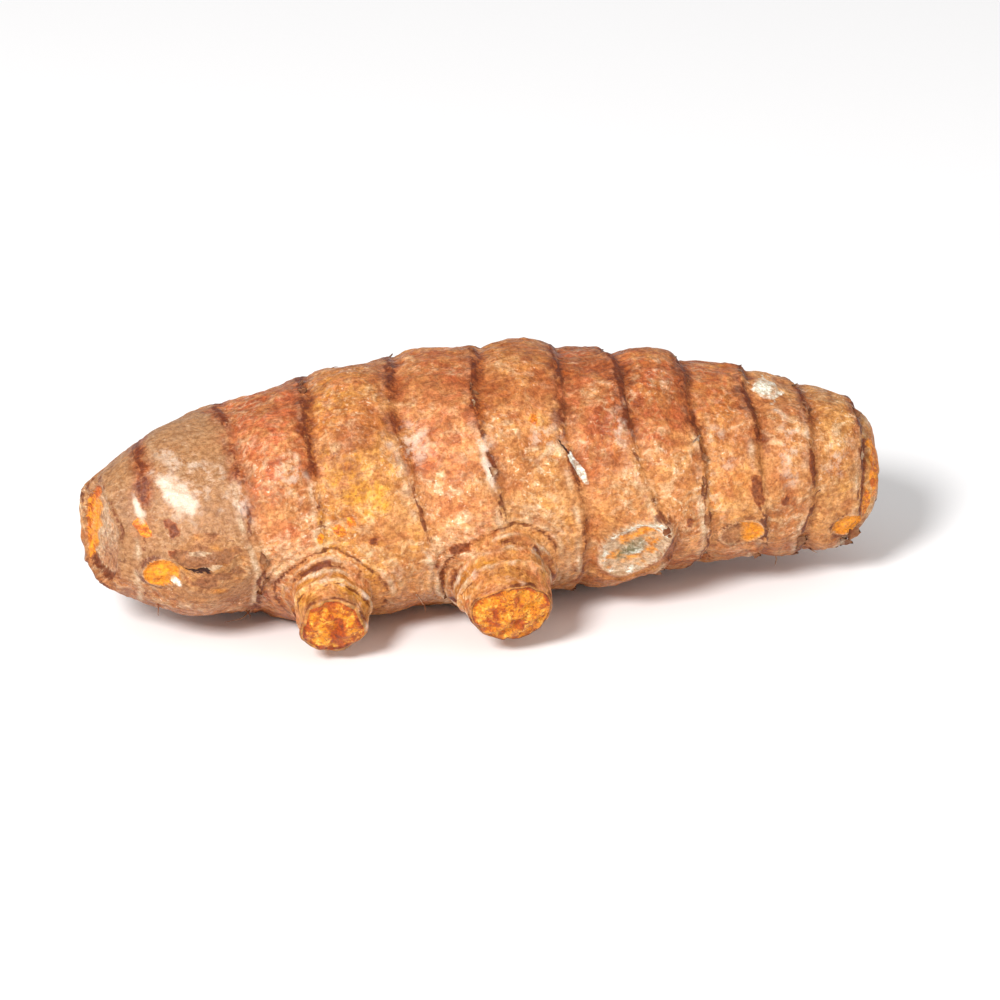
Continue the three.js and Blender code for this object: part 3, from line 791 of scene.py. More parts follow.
        # Painted shade on the top of each stretch, partly the skin's own red-brown.
        stain_and_shade = 0.3 * np.array(RED_AND_SHADED_TOPS)[self.segment] * smooth(top + 0.3 * small, 0.6, 1.0)
        for gap, ring, shift in (
            (self.before_gap, self.segment, 0.15), (self.after_gap, self.segment + 1, -0.1),
        ):
            past = gap + ragged - shift
            dark_top, dark_side = tops[ring] * over, sides[ring]
            dark = np.maximum(dark_side * broken, 0.9 * dark_top * np.clip(broken + 0.35, 0, 1))
            line = line + dark * bump(past, 0.24 + 0.12 * over)
            # A brown stain beside each ring, partly painted shade in the dip beside it.
            stain_and_shade = stain_and_shade + 0.9 * dark_top * smooth(past, 1.5, 0.2) * patchy_top
            stain_and_shade = stain_and_shade + 0.42 * dark_side * smooth(past, 1.5, 0.1) * patchy_side
        # Painted shade: the underside is browner.
        stain_and_shade = stain_and_shade + 0.5 * smooth(under, 0.15, 0.85) * np.clip(0.8 + small, 0.2, 1)
        # Painted highlight on the lip in front of each line, mostly on the sides.
        lit = np.clip(0.35 + 1.2 * waves_at(self.base, 1.6, 28), 0, 1)
        lit = lit * (self.segment < len(RINGS)) * (1 - 0.75 * over)
        lip = 0.9 * lit * bump(self.after_gap + 0.4 * ragged - 0.45, 0.28)
        self.mask["edge"] = np.clip(self.mask["edge"] + lip, 0, 1)
        free = 1 - self.mask["scar"]
        for name, value in (("ring", line), ("stain_and_shade", stain_and_shade)):
            self.mask[name] = np.clip(self.mask[name] + value * free, 0, 1)

    def mesh_data(self):
        return closed_skin(self.points, self.mask)


def closed_skin(points, masks):
    """Points, faces and masks from a grid whose first and last rows are each one point."""
    rows, around = points.shape[:2]
    last = (rows - 1) * around
    keep = [0, *range(around, last), last]
    masks = {name: masks[name].reshape(-1)[keep] for name in MASKS}
    return points.reshape(-1, 3)[keep], closed_faces(rows - 2, around), masks


def closed_faces(rows, around):
    """Faces of a closed skin: one point, rows of points round, and one last point."""
    first = 1 + np.arange(rows - 1)[:, None] * around
    here = np.arange(around)[None, :]
    after = (here + 1) % around
    quads = [first + here, first + after, first + around + after, first + around + here]
    last = 1 + rows * around
    start = [(0, 1 + (i + 1) % around, 1 + i) for i in range(around)]
    end = [(last, last - around + i, last - around + (i + 1) % around) for i in range(around)]
    return [*np.stack(quads, -1).reshape(-1, 4).tolist(), *start, *end]


# ---- The side shoots ----


def shoot_profile(length, base, tip):
    """A shoot's outline from its hidden root to the middle of its face: radius, height."""

    def taper(share):
        return base + (tip - base) * share

    return np.array([
        [0, -SHOOT_ROOT], [base * 0.6, -SHOOT_ROOT], [base, -SHOOT_ROOT],
        # The collar and its step down.
        [base + 1.5, -1.6], [base + 0.9, 0.1], [base + 0.62, 0.75], [base + 0.45, 1.05],
        [base + 0.1, 1.15], [base - 0.05, 1.4], [taper(0.4), length * 0.42],
        # The leaf ring.
        [taper(0.45) + 0.1, length * 0.5], [taper(0.5) + 0.22, length * 0.55],
        [taper(0.55) - 0.02, length * 0.59], [taper(0.6) - 0.1, length * 0.66],
        # The lip and the broken face.
        [tip + 0.02, length * 0.84], [tip + 0.06, length - 0.25], [tip - 0.12, length + 0.02],
        [tip - 0.5, length + 0.16], [tip * 0.7, length + 0.34], [tip * 0.3, length + 0.52],
        [0, length + 0.5],
    ])


def shoot_data(spot):
    """A snapped-off side shoot: collar, leaf ring, ragged lip and grainy broken face."""
    length, tip, phase = spot["length"], spot["tip"], spot["at"]
    profile = shoot_profile(length, spot["base"], tip)
    run = np.concatenate([[0], np.cumsum(np.linalg.norm(np.diff(profile, axis=0), axis=1))])
    visible = run[3] + 0.5
    places = np.concatenate([
        np.linspace(0, visible, HIDDEN_ROWS + 1)[:-1],
        np.linspace(visible, run[-1], SHOOT_ROWS - HIDDEN_ROWS),
    ])
    radius = np.interp(places, run, profile[:, 0])[:, None]
    angle = np.linspace(0, 2 * math.pi, SHOOT_AROUND, endpoint=False)[None, :]
    z = np.interp(places, run, profile[:, 1])[:, None] + 0 * angle
    x, y = radius * np.cos(angle), radius * np.sin(angle)
    local = np.stack([x, y, z], -1)
    # Uneven in the same way as the solid.
    waves = np.cos(2 * angle + phase) + 0.7 * np.cos(3 * angle + 2.1 * phase + 0.5 * z)
    waves = waves + 0.6 * np.cos(5 * angle - phase + 0.9 * z)
    lift = np.cos(1.3 * x + phase) + np.cos(1.6 * y + 2 * phase)
    lift = lift + 0.7 * np.cos(2.4 * (x - y) + phase)
    rim = (places - run[-1] + tip)[:, None] + 0 * angle
    face_at = run[-1] - tip
    on_face = smooth(places, face_at - 0.1, face_at + 0.35)[:, None] + 0 * angle
    grain = add_waves(local, ((1.1, 31 + phase, 1, 0.32), (0.5, 32, 1, 0.2)))
    skin = add_waves(local, ((0.7, 33, 1, 0.07), (0.4, 34, 1, 0.05)))
    ragged = 0.16 * waves_at(local * [1, 1, 0], 0.8, 35) * smooth(z, length * 0.75, length)
    out = 1 + SHOOT_UNEVEN * waves / (radius + 1)
    rough = 1 + skin * (1 - on_face) / (radius + 0.5)
    rise = SHOOT_UNEVEN * 0.5 * lift + grain * on_face + ragged * (1 - on_face)
    local = np.stack([x * out * rough, y * out * rough, z + rise], -1)
    for ends in (0, -1):
        local[ends] = local[ends].mean(0)
    place, aim = shoot_line(spot)
    points = place + local @ np.array([*scar_axes(aim, 0), aim])
    return closed_skin(points, shoot_masks(points, z, on_face, rim, spot))


def shoot_masks(points, z, on_face, rim, spot):
    """Where a side shoot's skin is lined, stained, golden or bare, with painted shade in the crease
    at its collar and painted highlights and glints, and its face dark beside the rim: partly
    dried flesh, partly painted shade.
    """
    length = spot["length"]
    cloud = waves_at(points, 1.8, 36)
    wander = z + 0.25 * waves_at(points, 0.9, 38)
    # Dark lines at the collar's step, the leaf ring and the face's rim; at the step partly painted
    # shade.
    step, face_rim = bump(wander - 1.2, 0.15), bump(wander - length + 0.1, 0.2)
    lines = 0.75 * step + 0.7 * bump(wander - length * 0.62, 0.14) + 1.2 * face_rim
    stain_and_shade = 0.55 * bump(wander - 1.2, 0.7) + 0.5 * bump(wander - length, 0.8) + 0.5 * cloud
    # Painted highlights on the collar and on the leaf ring.
    pale = 0.9 * bump(wander - 1.62, 0.16) + 0.8 * bump(wander - 0.75, 0.16)
    pale = pale + 0.7 * bump(wander - length * 0.54, 0.14)
    masks = {name: np.zeros(z.shape) for name in MASKS}
    for name, value in (
        ("ring", lines * (0.7 + 1.2 * cloud)), ("stain_and_shade", stain_and_shade),
        ("edge", pale * (0.7 + 1.4 * cloud)), ("golden", 0.5 + 0.8 * cloud),
        ("rosy", 0.3 - 0.5 * cloud),
    ):
        masks[name] = np.clip(value, 0, 1) * (1 - on_face)
    # Painted glints on the shoot's skin.
    masks["gloss"] = smooth(waves_at(points, 1.3, 37), 0.28, 0.5) * (1 - on_face) * 0.6
    # Painted shade where the skin and the face are taken to dip, from noise.
    masks["hollow"] = 0.42 - 0.8 * waves_at(points, 0.9, 31)
    masks["flesh"] = on_face
    middle = 0.5 * smooth(rim, 1.3, 2.4) * np.clip(0.6 + 2 * cloud, 0, 1)
    # Dried flesh and painted shade beside the rim, and each shoot's own painted shade over its
    # face.
    dim = 0.85 * smooth(rim, 1.0, 0.1) + middle + 0.6 * cloud + spot["dim"]
    masks["dim"] = on_face * np.clip(dim, 0, 1)
    return masks


# ---- Meshes ----


def mesh_object(name, points, faces, masks=None):
    mesh = bpy.data.meshes.new(name)
    mesh.from_pydata(points.tolist(), [], faces)
    for key, values in (masks or {}).items():
        attribute = mesh.attributes.new(key, "FLOAT", "POINT")
        attribute.data.foreach_set("value", values.astype(np.float32))
    piece = bpy.data.objects.new(name, mesh)
    bpy.context.scene.collection.objects.link(piece)
    return piece


def join_solids(piece, others):
    """Unites closed meshes into piece and removes the others."""
    group = bpy.data.collections.new("shoots_to_join")
    for other in others:
        group.objects.link(other)
    union = piece.modifiers.new("union", "BOOLEAN")
    union.operation, union.solver = "UNION", "MANIFOLD"
    union.operand_type, union.collection = "COLLECTION", group
    bpy.context.view_layer.update()
    whole = piece.evaluated_get(bpy.context.evaluated_depsgraph_get())
    joined = bpy.data.meshes.new_from_object(whole)
    piece.modifiers.clear()
    old, piece.data = piece.data, joined
    bpy.data.meshes.remove(old)
    for other in others:
        bpy.data.objects.remove(other)
    bpy.data.collections.remove(group)


def to_frame(points):
    """Points in the drawing's mm as metres in the frame, none below the floor."""
    moved = (points - DRAWING_MIDDLE) * MM
    moved[:, 2] = np.maximum(moved[:, 2], 0)
    return moved


def read_points(mesh):
    points = np.empty(len(mesh.vertices) * 3)
    mesh.vertices.foreach_get("co", points)
    return points.reshape(-1, 3)


def read_mask(mesh, name):
    values = np.empty(len(mesh.vertices), np.float32)
    mesh.attributes[name].data.foreach_get("value", values)
    return values


def finish_piece(piece, *materials):
    for material in materials:
        piece.data.materials.append(material)
    piece.data.polygons.foreach_set("use_smooth", [True] * len(piece.data.polygons))
    piece.data.update()
    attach(piece, "root")


# ---- Materials ----


def add_node(tree, kind, settings=None, inputs=None):
    """Adds a node, sets its own settings, and fills its sockets with values or other sockets."""
    node = tree.nodes.new(kind)
    for name, value in (settings or {}).items():
        setattr(node, name, value)
    for key, value in (inputs or {}).items():
        if isinstance(value, bpy.types.NodeSocket):
            tree.links.new(value, node.inputs[key])
        else:
            node.inputs[key].default_value = value
    return node


class Paint:
    """A material whose colour is laid on in layers that follow its masks and patterns."""

    def __init__(self, name, colour, masks=()):
        self.material = bpy.data.materials.new(name)
        self.material.use_nodes = True
        self.tree = self.material.node_tree
        self.tree.nodes.clear()
        self.colour = (*colour, 1)
        self.masks = {}
        for mask in masks:
            node = add_node(self.tree, "ShaderNodeAttribute", {"attribute_name": mask})
            self.masks[mask] = node.outputs["Fac"]

    def pattern(self, size, detail=3, rough=0.6, stretch=1, seed=0, warp=0):
        """Noise with features of about size mm, stretch times as long along X."""
        place = add_node(self.tree, "ShaderNodeTexCoord")
        place = add_node(self.tree, "ShaderNodeMapping", None, {
            "Vector": place.outputs["Object"], "Scale": (1 / stretch, 1, 1),
            "Location": (0.37 * seed, 0.11 * seed, 0.23 * seed)})
        return add_node(self.tree, "ShaderNodeTexNoise", None, {
            "Vector": place.outputs[0], "Scale": METRE / size, "Detail": detail,
            "Roughness": rough, "Distortion": warp}).outputs["Fac"]

    def share(self, *parts):
        """How much of a layer shows: its parts multiplied. A part is a number, a socket, or a
        socket with the low and high between which it rises from 0 to 1, or to other ends."""
        product, smoothly = None, {"interpolation_type": "SMOOTHSTEP"}
        for part in parts:
            if isinstance(part, tuple):
                value, low, high, to_low, to_high = (*part, 0.0, 1.0)[:5]
                part = add_node(self.tree, "ShaderNodeMapRange", smoothly, {
                    "Value": value, "From Min": low, "From Max": high,
                    "To Min": to_low, "To Max": to_high}).outputs["Result"]
            product = part if product is None else add_node(
                self.tree, "ShaderNodeMath", {"operation": "MULTIPLY"}, {0: product, 1: part},
            ).outputs[0]
        return product

    def torn(self, name, pattern, low, high):
        """A mask with its edge broken up by a pattern."""
        mask, spread = self.masks[name], self.share((pattern, 0.25, 0.75, -0.35, 0.35))
        node = add_node(self.tree, "ShaderNodeMath", {"operation": "ADD"}, {0: mask, 1: spread})
        return self.share((node.outputs[0], low, high), (mask, 0.0, 0.12))

    def layer(self, colour, *parts, blend="MIX"):
        """Lays a colour over what is there, as much as its parts say."""
        colour = colour if isinstance(colour, bpy.types.NodeSocket) else (*colour, 1)
        mix = {"data_type": "RGBA", "blend_type": blend}
        self.colour = add_node(self.tree, "ShaderNodeMix", mix, {
            0: self.share(*parts), 6: self.colour, 7: colour}).outputs[2]

    def shade(self, share, value, low, high, dark, light):
        """Darkens to a warm tone where value is low, and lightens where it is high."""
        tone = add_node(self.tree, "ShaderNodeMix", {"data_type": "RGBA"}, {
            0: self.share((value, low, high)), 6: (*dark, 1), 7: (*light, 1)}).outputs[2]
        self.layer(tone, share, blend="MULTIPLY")

    def finish(self, rough, gloss, bumps=(), glow=None):
        """Adds relief, given as strength, depth in mm and pattern, and the shader. A glow is the
        share of light that goes into the flesh, and how far each colour of it goes in mm."""
        inputs = {"Base Color": self.colour, "Roughness": rough, "Specular IOR Level": gloss}
        for strength, depth, pattern in bumps:
            under = {"Normal": inputs["Normal"]} if "Normal" in inputs else {}
            inputs["Normal"] = add_node(self.tree, "ShaderNodeBump", None, {
                "Strength": strength, "Distance": depth * MM, "Height": pattern, **under,
            }).outputs[0]
        if glow:
            inputs["Subsurface Weight"], inputs["Subsurface Radius"] = glow
            inputs["Subsurface Scale"] = MM
        shader = add_node(self.tree, "ShaderNodeBsdfPrincipled", None, inputs)
        add_node(self.tree, "ShaderNodeOutputMaterial", None, {"Surface": shader.outputs[0]})
        return self.material


def corky_skin(skin, flesh):
    """Thin corky skin of a fresh root, dry and waxy, in tan with rosy and golden stretches.
    It glints where it is rubbed and on glossy patches, which also have painted highlights; its
    pale wisps and crumbs are partly painted glints; it is dark in rings and cracks, and painted
    shade darkens its pits and hollows."""
    paint = Paint("corky_root_skin", skin.tan, MASKS)
    masks, pattern, layer = paint.masks, paint.pattern, paint.layer
    fresh = paint.share((masks["worn"], 0, 1, 1, 0.25))
    cloud = pattern(6, 3, 0.55, seed=5)
    broad = pattern(8, 3, 0.5, seed=33)
    for name, colour, patches, low, high, least in (
        ("grey", skin.grey, pattern(4.0, seed=1), 0.3, 0.7, 0.55),
        ("rosy", skin.rosy, pattern(1.9, 5, 0.65, 1, 2, 1.0), 0.34, 0.62, 0.25),
        ("golden", skin.golden, pattern(1.6, 5, 0.65, 1, 3, 1.0), 0.36, 0.62, 0.2),
        ("worn", skin.grey, pattern(3.0, 4, seed=16), 0.3, 0.6, 0.6),
    ):
        layer(colour, masks[name], (patches, low, high, least, 1))
    # Wisps of dry outer skin, about 1 mm across, partly painted glints.
    wisps = pattern(1.1, 4, 0.62, 1.2, 4, 0.9)
    layer(skin.pale, (wisps, 0.47, 0.68), (cloud, 0.35, 0.62, 0.1, 0.6), fresh)
    # Rust-brown blotches.
    blotches, where = pattern(1.5, 5, 0.68, 1.4, 17, 1.2), pattern(5, seed=18)
    layer(skin.rust, (blotches, 0.54, 0.7), (where, 0.4, 0.62, 0.2, 0.6), fresh)
    # Pale crumbs of peel, partly painted glints, and rust-brown specks where the cork is cracked.
    crumbs, specks = pattern(0.42, 3, 0.6, 1, 19, 0.5), pattern(0.6, 3, 0.6, 1, 8, 0.6)
    layer(skin.peel_and_highlight, (crumbs, 0.6, 0.68), (cloud, 0.42, 0.6), fresh, 0.7)
    layer(skin.ring, (specks, 0.63, 0.72), (broad, 0.6, 0.4, 0.2, 0.6))
    # Painted shade in the skin's recesses and pits, in rust-brown.
    layer(skin.rust, (masks["hollow"], 0.5, 1.0, 0.0, 0.5), fresh)
    # Stretches of darker and lighter skin, and fine lines round the root from the leaf sheaths.
    for patches, low, high, dark, light in (
        (pattern(2.4, 5, 0.6, 1.2, 27, 1.6), 0.36, 0.64, (0.81, 0.7, 0.58), (1.15, 1.15, 1.15)),
        (broad, 0.38, 0.62, (0.88, 0.8, 0.7), (1.11, 1.12, 1.14)),
        (pattern(1.4, 4, 0.65, 0.4, 34, 0.7), 0.36, 0.64, (0.86, 0.79, 0.71), (1.09, 1.1, 1.11)),
    ):
        paint.shade(fresh, patches, low, high, dark, light)
    # Stains and painted shade, painted highlights on lips, lines and flecks, all with ragged edges.
    ragged = pattern(0.8, 6, 0.75, 1, 9, 0.8)
    patchy = paint.share((ragged, 0.32, 0.6, 0.25, 1))
    # Stain and painted shade beside the rings, on the underside and round the shoots.
    layer(skin.rust, masks["stain_and_shade"], patchy)
    layer(skin.ring, masks["stain_and_shade"], (pattern(0.9, 5, 0.7, 1.2, 26, 0.8), 0.42, 0.58), 0.8)
    # Painted highlights on lips, rims and folds.
    layer(skin.pale, masks["edge"], patchy, 0.8)
    layer(skin.pale, paint.torn("pale", ragged, 0.3, 0.8), 0.8)
    layer(skin.ring, paint.torn("ring", ragged, 0.3, 0.75), 0.85)
    layer(skin.rust, paint.torn("fleck", ragged, 0.15, 0.5), 0.7)
    layer(skin.ring, paint.torn("fleck", ragged, 0.4, 0.8), patchy, 0.8)
    # Scars: dried tissue, bare flesh, and bloom, with painted shade on the bloom where it lies
    # deep.
    layer(skin.grey, masks["scar"], 0.5)
    layer(skin.ring, masks["scar"], (pattern(0.7, 5, 0.75, 1.6, 10, 0.6), 0.46, 0.66), 0.6)
    layer(flesh.bright, masks["flesh"], (pattern(0.5, 4, 0.7, seed=11), 0.3, 0.6, 0.45, 1))
    layer(flesh.deep, masks["flesh"], (pattern(0.8, 5, 0.7, seed=20), 0.5, 0.68, 0, 0.6))
    layer(flesh.bright, paint.torn("orange", ragged, 0.35, 0.7), patchy)
    layer(flesh.deep, paint.torn("orange", ragged, 0.2, 0.6), (ragged, 0.56, 0.44), 0.8)
    bloom, fuzz = pattern(0.55, 5, 0.75, 1, 12, 0.8), pattern(0.3, 4, 0.7, 1, 28, 0.5)
    spots = pattern(1.2, 4, 0.65, seed=35)
    bloomy = paint.torn("mould", bloom, 0.3, 0.8)
    layer(skin.mould, bloomy, (fuzz, 0.36, 0.6, 0.55, 1), (spots, 0.36, 0.54, 0.3, 1))
    layer(skin.mould_in_painted_shade, masks["dim"], (bloom, 0.62, 0.4, 0.3, 0.95))
    layer(skin.crack, paint.torn("crack", ragged, 0.45, 0.7))
    # Cork cells drawn coarser than life, at 0.4 mm, so that they show.
    cork, streaks = pattern(0.38, 3, 0.7, 1.2, 6, 0.2), pattern(0.42, 3, 0.6, 5, 7, 0.5)
    paint.shade(1.0, cork, 0.32, 0.68, (0.7, 0.61, 0.5), (1.23, 1.24, 1.27))
    paint.shade(0.4, streaks, 0.3, 0.7, (0.84, 0.8, 0.74), (1.14, 1.15, 1.16))
    # Painted highlights on glossy patches, and lower roughness there and where the base is rubbed.
    layer(skin.peel_and_highlight, paint.torn("gloss", pattern(1.0, 4, 0.65, 1.4, 21, 0.5), 0.1, 1.25), 0.68)
    layer(skin.peel_and_highlight, masks["sheen"], (pattern(1.3, 4, 0.65, seed=36), 0.46, 0.64), 0.4)
    rough = paint.share((pattern(1.2, 4, 0.65, 1, 13, 0.6), 0.3, 0.7, 0.3, 0.62))
    for name, roughness in (("worn", 0.42), ("sheen", 0.26), ("gloss", 0.2)):
        rough = add_node(paint.tree, "ShaderNodeMix", {"data_type": "FLOAT"}, {
            0: masks[name], 2: rough, 3: roughness}).outputs[0]
    bumps = ((0.8, 0.18, cork), (0.6, 0.4, paint.share(wisps, fresh)))
    return paint.finish(rough, 0.3, bumps, glow=(0.06, (1.0, 0.45, 0.15)))


def broken_flesh(flesh, skin):
    """Freshly snapped flesh: moist, grainy and bright orange, with dried paler crumbs on it."""
    paint = Paint("snapped_root_flesh", flesh.bright, ("hollow", "dim", "flesh"))
    masks, pattern, layer = paint.masks, paint.pattern, paint.layer
    layer(flesh.deep, (pattern(1.2, 5, 0.7, 1, 21, 1.0), 0.47, 0.6, 0, 0.85))
    layer(flesh.dry, (pattern(0.6, 4, 0.7, 1, 22, 0.8), 0.52, 0.6, 0, 0.9))
    # Painted shade in the hollows of the grainy face.
    layer(flesh.deep, (masks["hollow"], 0.5, 0.8, 0, 0.8))
    layer(skin.ring, (pattern(1.0, 3, 0.6, 1, 25), 0.66, 0.72, 0, 0.7))
    # Dark beside the rim: dried flesh and painted shade, with a thin dark line at the rim itself.
    layer(flesh.deep, paint.torn("dim", pattern(0.9, 4, 0.7, seed=29), 0.3, 0.8))
    layer(skin.ring, paint.torn("dim", pattern(0.5, 4, 0.7, seed=30), 0.75, 1.1), 0.8)
    layer(skin.ring, (masks["flesh"], 0.96, 0.6, 0, 0.9))
    grain, lumps = pattern(0.26, 4, 0.75, seed=23), pattern(0.5, 5, 0.75, seed=24)
    paint.shade(1.0, grain, 0.3, 0.7, (0.66, 0.52, 0.4), (1.4, 1.45, 1.6))
    bumps = ((0.9, 0.4, lumps), (0.6, 0.15, grain))
    return paint.finish(0.36, 0.4, bumps, glow=(0.12, (1.0, 0.4, 0.08)))


def dried_fibre(skin):
    """Dried leaf sheath and rootlets: papery, brown and brittle, with paler patches."""
    paint = Paint("dried_root_fibre", skin.grey)
    paint.layer(skin.ring, (paint.pattern(1.0, 4, 0.7, seed=31), 0.35, 0.6, 0.35, 0.85))
    paint.layer(skin.pale, (paint.pattern(1.6, 4, 0.7, seed=37), 0.5, 0.7, 0.0, 0.5))
    return paint.finish(0.75, 0.3, [(0.4, 0.1, paint.pattern(0.3, 3, 0.6, 4, 32))])


def painted_floor(colour):
    """A matt white painted board, smooth and plain."""
    return Paint("matt_white_paint", colour).finish(0.9, 0.1)


# ---- Operators ----


class RHIZOME_OT_build_root(bpy.types.Operator):
    """Build the root itself: the finger, its scars and its snapped-off side shoots"""

    bl_idname = "rhizome.build_root"
    bl_label = "Build Root"

    def execute(self, context):
        skin, flesh = context.scene.rhizome_skin, context.scene.rhizome_flesh
        root = mesh_object("turmeric_root", *Finger(skin).mesh_data())
        shoots = [mesh_object(f"shoot_{n}", *shoot_data(spot)) for n, spot in enumerate(SHOOTS)]
        join_solids(root, shoots)
        mesh = root.data
        if "flesh" not in mesh.attributes:
            raise RuntimeError("the union dropped the skin's masks")
        points = to_frame(read_points(mesh))
        mesh.vertices.foreach_set("co", points.ravel())
        mesh.materials.clear()
        bare = (read_mask(mesh, "flesh") > 0.5) & (read_mask(mesh, "scar") < 0.5)
        index = [int(all(bare[v] for v in face.vertices)) for face in mesh.polygons]
        finish_piece(root, corky_skin(skin, flesh), broken_flesh(flesh, skin))
        mesh.polygons.foreach_set("material_index", index)
        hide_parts(NODE)
        return {"FINISHED"}


def build_trim(name, parts, skin):
    """Makes one piece of dried fibre from parts, each given as its points and faces."""
    if not parts:
        raise RuntimeError(f"nothing could be placed for {name}")
    points, faces, count = [], [], 0
    for part_points, part_faces in parts:
        points.append(part_points)
        faces += [tuple(v + count for v in face) for face in part_faces]
        count += len(part_points)
    piece = mesh_object(name, to_frame(np.vstack(points)), faces)
    finish_piece(piece, dried_fibre(skin))


def finger_surface():
    """A quick way from a place along X and an angle to the raised skin: its point and normal."""
    root = bpy.data.objects["turmeric_root"]

    def find(at, turn):
        place, outward = skin_place(at, turn)
        start = Vector((place + outward * RAY_START - DRAWING_MIDDLE) * MM)
        hit, spot, normal, _ = root.ray_cast(start, Vector(-outward))
        if not hit:
            return None
        return np.array(spot) * METRE + DRAWING_MIDDLE, np.array(normal)

    return find


def flake(rng, place, outward, side, long, wide, lift):
    """One shred as a thin curled closed sheet, four cells long and two wide."""
    rows = 5
    across = np.cross(outward, side)
    tilt = lift * (0.6 + 0.8 * rng.random())
    curl = rng.uniform(-0.5, 0.9)
    points = []
    for layer in (0, 1):
        for i in range(rows):
            t = i / (rows - 1)
            taper = (1 - t) ** 0.6 * (0.75 + 0.5 * rng.random())
            up = long * t * math.sin(tilt) + curl * 0.25 * t * t - SHRED_SINK
            middle = place + side * long * t * math.cos(tilt) + outward * up
            for j in (-1, 0, 1):
                bow = 0.08 * wide * (1 - j * j)
                edge = across * j * 0.5 * wide * taper
                points.append(middle + edge + outward * (bow + SHRED_THICKNESS * layer))
    top = 3 * rows
    corners = [3 * i + j for i in range(rows - 1) for j in (0, 1)]
    faces = [(c, c + 1, c + 4, c + 3) for c in corners]
    faces += [(top + c, top + c + 3, top + c + 4, top + c + 1) for c in corners]
    left, right = [3 * i for i in range(rows)], [3 * i + 2 for i in reversed(range(rows))]
    rim = [*left, top - 2, *right, 1]
    faces += [(a, a + top, b + top, b) for a, b in zip(rim, rim[1:] + rim[:1])]
    return np.array(points), faces


class RHIZOME_OT_build_shreds(bpy.types.Operator):
    """Build the shreds of dried leaf sheath that stand along the rings"""

    bl_idname = "rhizome.build_shreds"
    bl_label = "Build Sheath Shreds"

    def execute(self, context):
        rng = np.random.default_rng(SEED)
        find = finger_surface()
        drawn = [
            (rng.integers(1, len(RINGS)), rng.uniform(0, 360), rng.uniform(0.25, 0.8),
             rng.uniform(0.5, 1.6), rng.uniform(-0.05, 0.3))
            for _ in range(context.scene.rhizome_trim.shreds)
        ]
        parts = []
        for ring, turn, long, wide, lift in [*SHREDS, *drawn]:
            shift = float(ring_shift(ring, np.array(math.radians(turn))))
            at = RINGS[ring]["mid"] + shift + rng.uniform(-0.15, 0.1)
            found = find(at, turn)
            if found is None or found[0][2] < SHRED_CLEARANCE:
                continue
            place, outward = found
            _, along, _, _ = line_frame(np.array(at))
            side = unit(along - outward * (along @ outward) + rng.normal(0, 0.25, 3))
            parts.append(flake(rng, place, outward, side, long, wide, lift))
        build_trim("leaf_sheath_shreds", parts, context.scene.rhizome_skin)
        return {"FINISHED"}


def thread(points, radius):
    """A thin closed tube along points, tapering to its end, with six sides."""
    sides, last = 6, len(points) - 1
    rings, faces = [], []
    for i, p in enumerate(points):
        ahead = unit(points[min(i + 1, last)] - points[max(i - 1, 0)])
        across = unit(np.cross(ahead, [0.3, 0.2, 0.93]))
        beyond = np.cross(ahead, across)
        r = radius * (1 - 0.75 * i / last)
        for k in range(sides):
            turn = 2 * math.pi * k / sides
            rings.append(p + r * (across * math.cos(turn) + beyond * math.sin(turn)))
    for i in range(last):
        for k in range(sides):
            a, b = i * sides + k, i * sides + (k + 1) % sides
            faces.append((a, b, b + sides, a + sides))
    faces.append(tuple(reversed(range(sides))))
    faces.append(tuple(range(last * sides, (last + 1) * sides)))
    return np.array(rings), faces


class RHIZOME_OT_build_rootlets(bpy.types.Operator):
    """Build the short dried rootlets"""

    bl_idname = "rhizome.build_rootlets"
    bl_label = "Build Rootlets"

    def execute(self, context):
        rng = np.random.default_rng(SEED + 1)
        find = finger_surface()
        count = context.scene.rhizome_trim.rootlets
        spots = list(ROOTLETS)
        while len(spots) < count:
            spots.append((rng.uniform(-28, 32), rng.uniform(60, 300), rng.uniform(1.0, 2.4)))
        parts = []
        for at, turn, long in spots[:count]:
            found = find(at, turn)
            if found is None or found[0][2] < ROOTLET_CLEARANCE:
                continue
            place, outward = found
            aim = unit(outward + rng.normal(0, 0.5, 3))
            points = [place - ROOTLET_SINK * outward]
            for _ in range(ROOTLET_STEPS):
                aim = unit(aim + rng.normal(0, ROOTLET_BEND, 3))
                step = points[-1] + aim * long / ROOTLET_STEPS
                step[2] = max(step[2], ROOTLET_FLOOR)
                points.append(step)
            parts.append(thread(np.array(points), rng.uniform(*ROOTLET_RADII)))
        build_trim("dried_rootlets", parts, context.scene.rhizome_skin)
        return {"FINISHED"}


def stand(name, data, place, aim):
    """Puts a light or camera at a place and turns it to what it is aimed at."""
    thing = bpy.data.objects.new(name, data)
    thing.location = place
    thing.rotation_euler = (Vector(aim) - Vector(place)).to_track_quat("-Z", "Y").to_euler()
    bpy.context.scene.collection.objects.link(thing)
    return thing


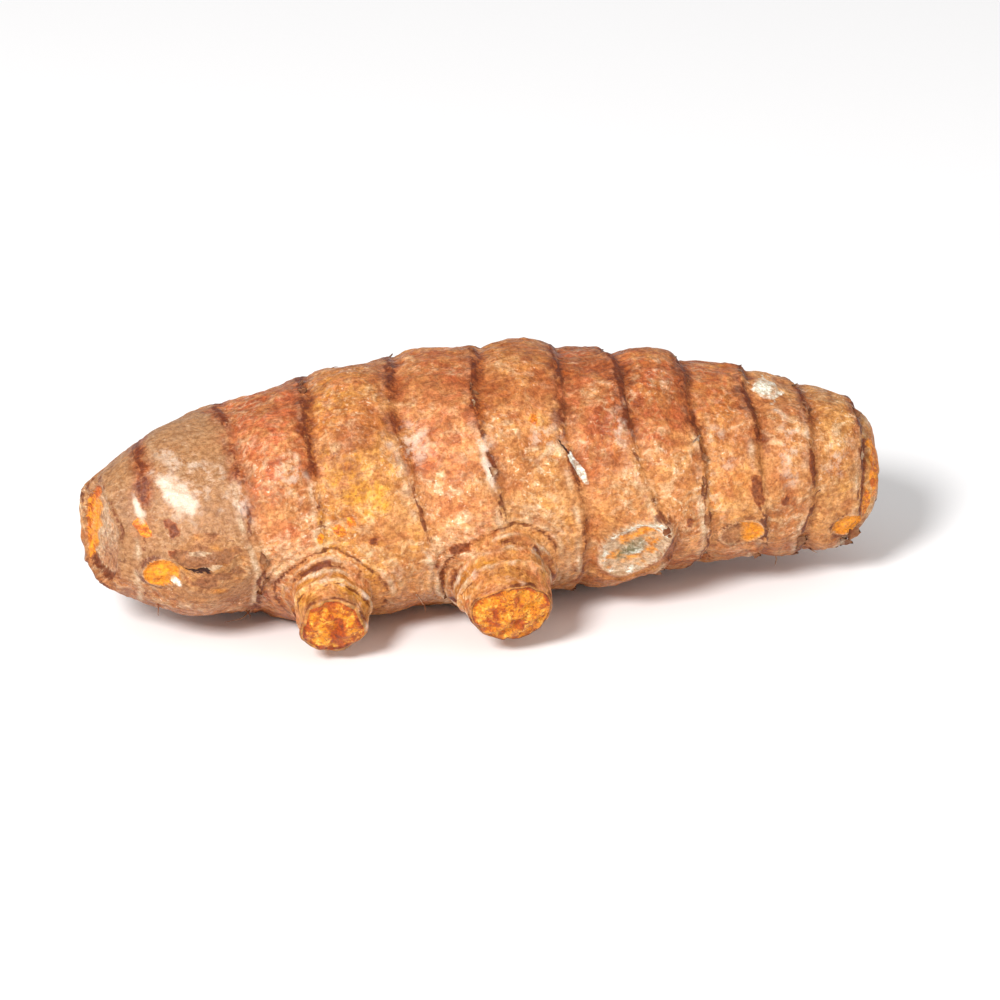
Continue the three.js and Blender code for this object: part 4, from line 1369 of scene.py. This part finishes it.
class RHIZOME_OT_build_stage(bpy.types.Operator):
    """Build the plain floor, the soft lights and the camera"""

    bl_idname = "rhizome.build_stage"
    bl_label = "Build Stage"

    def execute(self, context):
        stage = context.scene.rhizome_stage
        corners = np.array([[-1, -1, 0], [1, -1, 0], [1, 1, 0], [-1, 1, 0]]) * FLOOR_REACH
        floor = mesh_object("floor", corners, [(0, 1, 2, 3)])
        floor.data.materials.append(painted_floor(stage.floor))
        for name, place, size, share in LIGHTS:
            light = bpy.data.lights.new(name, "AREA")
            light.shape, light.size, light.energy = "DISK", size, stage.key_power * share
            stand(name, light, place, LIGHT_AIM)
        world = bpy.data.worlds.new("soft_white_room")
        world.use_nodes = True
        background = world.node_tree.nodes["Background"].inputs
        background["Color"].default_value = (1, 1, 1, 1)
        background["Strength"].default_value = ROOM_BRIGHTNESS
        context.scene.world = world
        context.scene.view_settings.view_transform = "Standard"
        camera = bpy.data.cameras.new("camera")
        camera.lens, camera.sensor_width, camera.clip_start = stage.lens, SENSOR_WIDTH, NEAREST
        context.scene.camera = stand("camera", camera, CAMERA_PLACE, CAMERA_AIM)
        return {"FINISHED"}


class RHIZOME_PT_panel(bpy.types.Panel):
    """The rhizome's settings and build steps in the sidebar"""

    bl_idname = "RHIZOME_PT_panel"
    bl_label = "Turmeric Rhizome"
    bl_space_type = "VIEW_3D"
    bl_region_type = "UI"
    bl_category = "Rhizome"

    def draw(self, context):
        for group, settings in SETTINGS.items():
            box = self.layout.box()
            for name in settings.__annotations__:
                box.prop(getattr(context.scene, group), name)
        for step in STEPS:
            self.layout.operator(step.bl_idname)


SETTINGS = {
    "rhizome_skin": RhizomeSkin, "rhizome_flesh": RhizomeFlesh, "rhizome_trim": RhizomeTrim,
    "rhizome_stage": RhizomeStage,
}
STEPS = (
    RHIZOME_OT_build_root, RHIZOME_OT_build_shreds, RHIZOME_OT_build_rootlets,
    RHIZOME_OT_build_stage,
)
CLASSES = (*SETTINGS.values(), *STEPS, RHIZOME_PT_panel)


def register():
    for cls in CLASSES:
        bpy.utils.register_class(cls)
    for name, settings in SETTINGS.items():
        setattr(bpy.types.Scene, name, PointerProperty(type=settings))


def unregister():
    for name in SETTINGS:
        delattr(bpy.types.Scene, name)
    for cls in reversed(CLASSES):
        bpy.utils.unregister_class(cls)


def main():
    register()
    bpy.ops.rhizome.build_root()
    bpy.ops.rhizome.build_shreds()
    bpy.ops.rhizome.build_rootlets()
    bpy.ops.rhizome.build_stage()


if __name__ == "__main__":
    main()
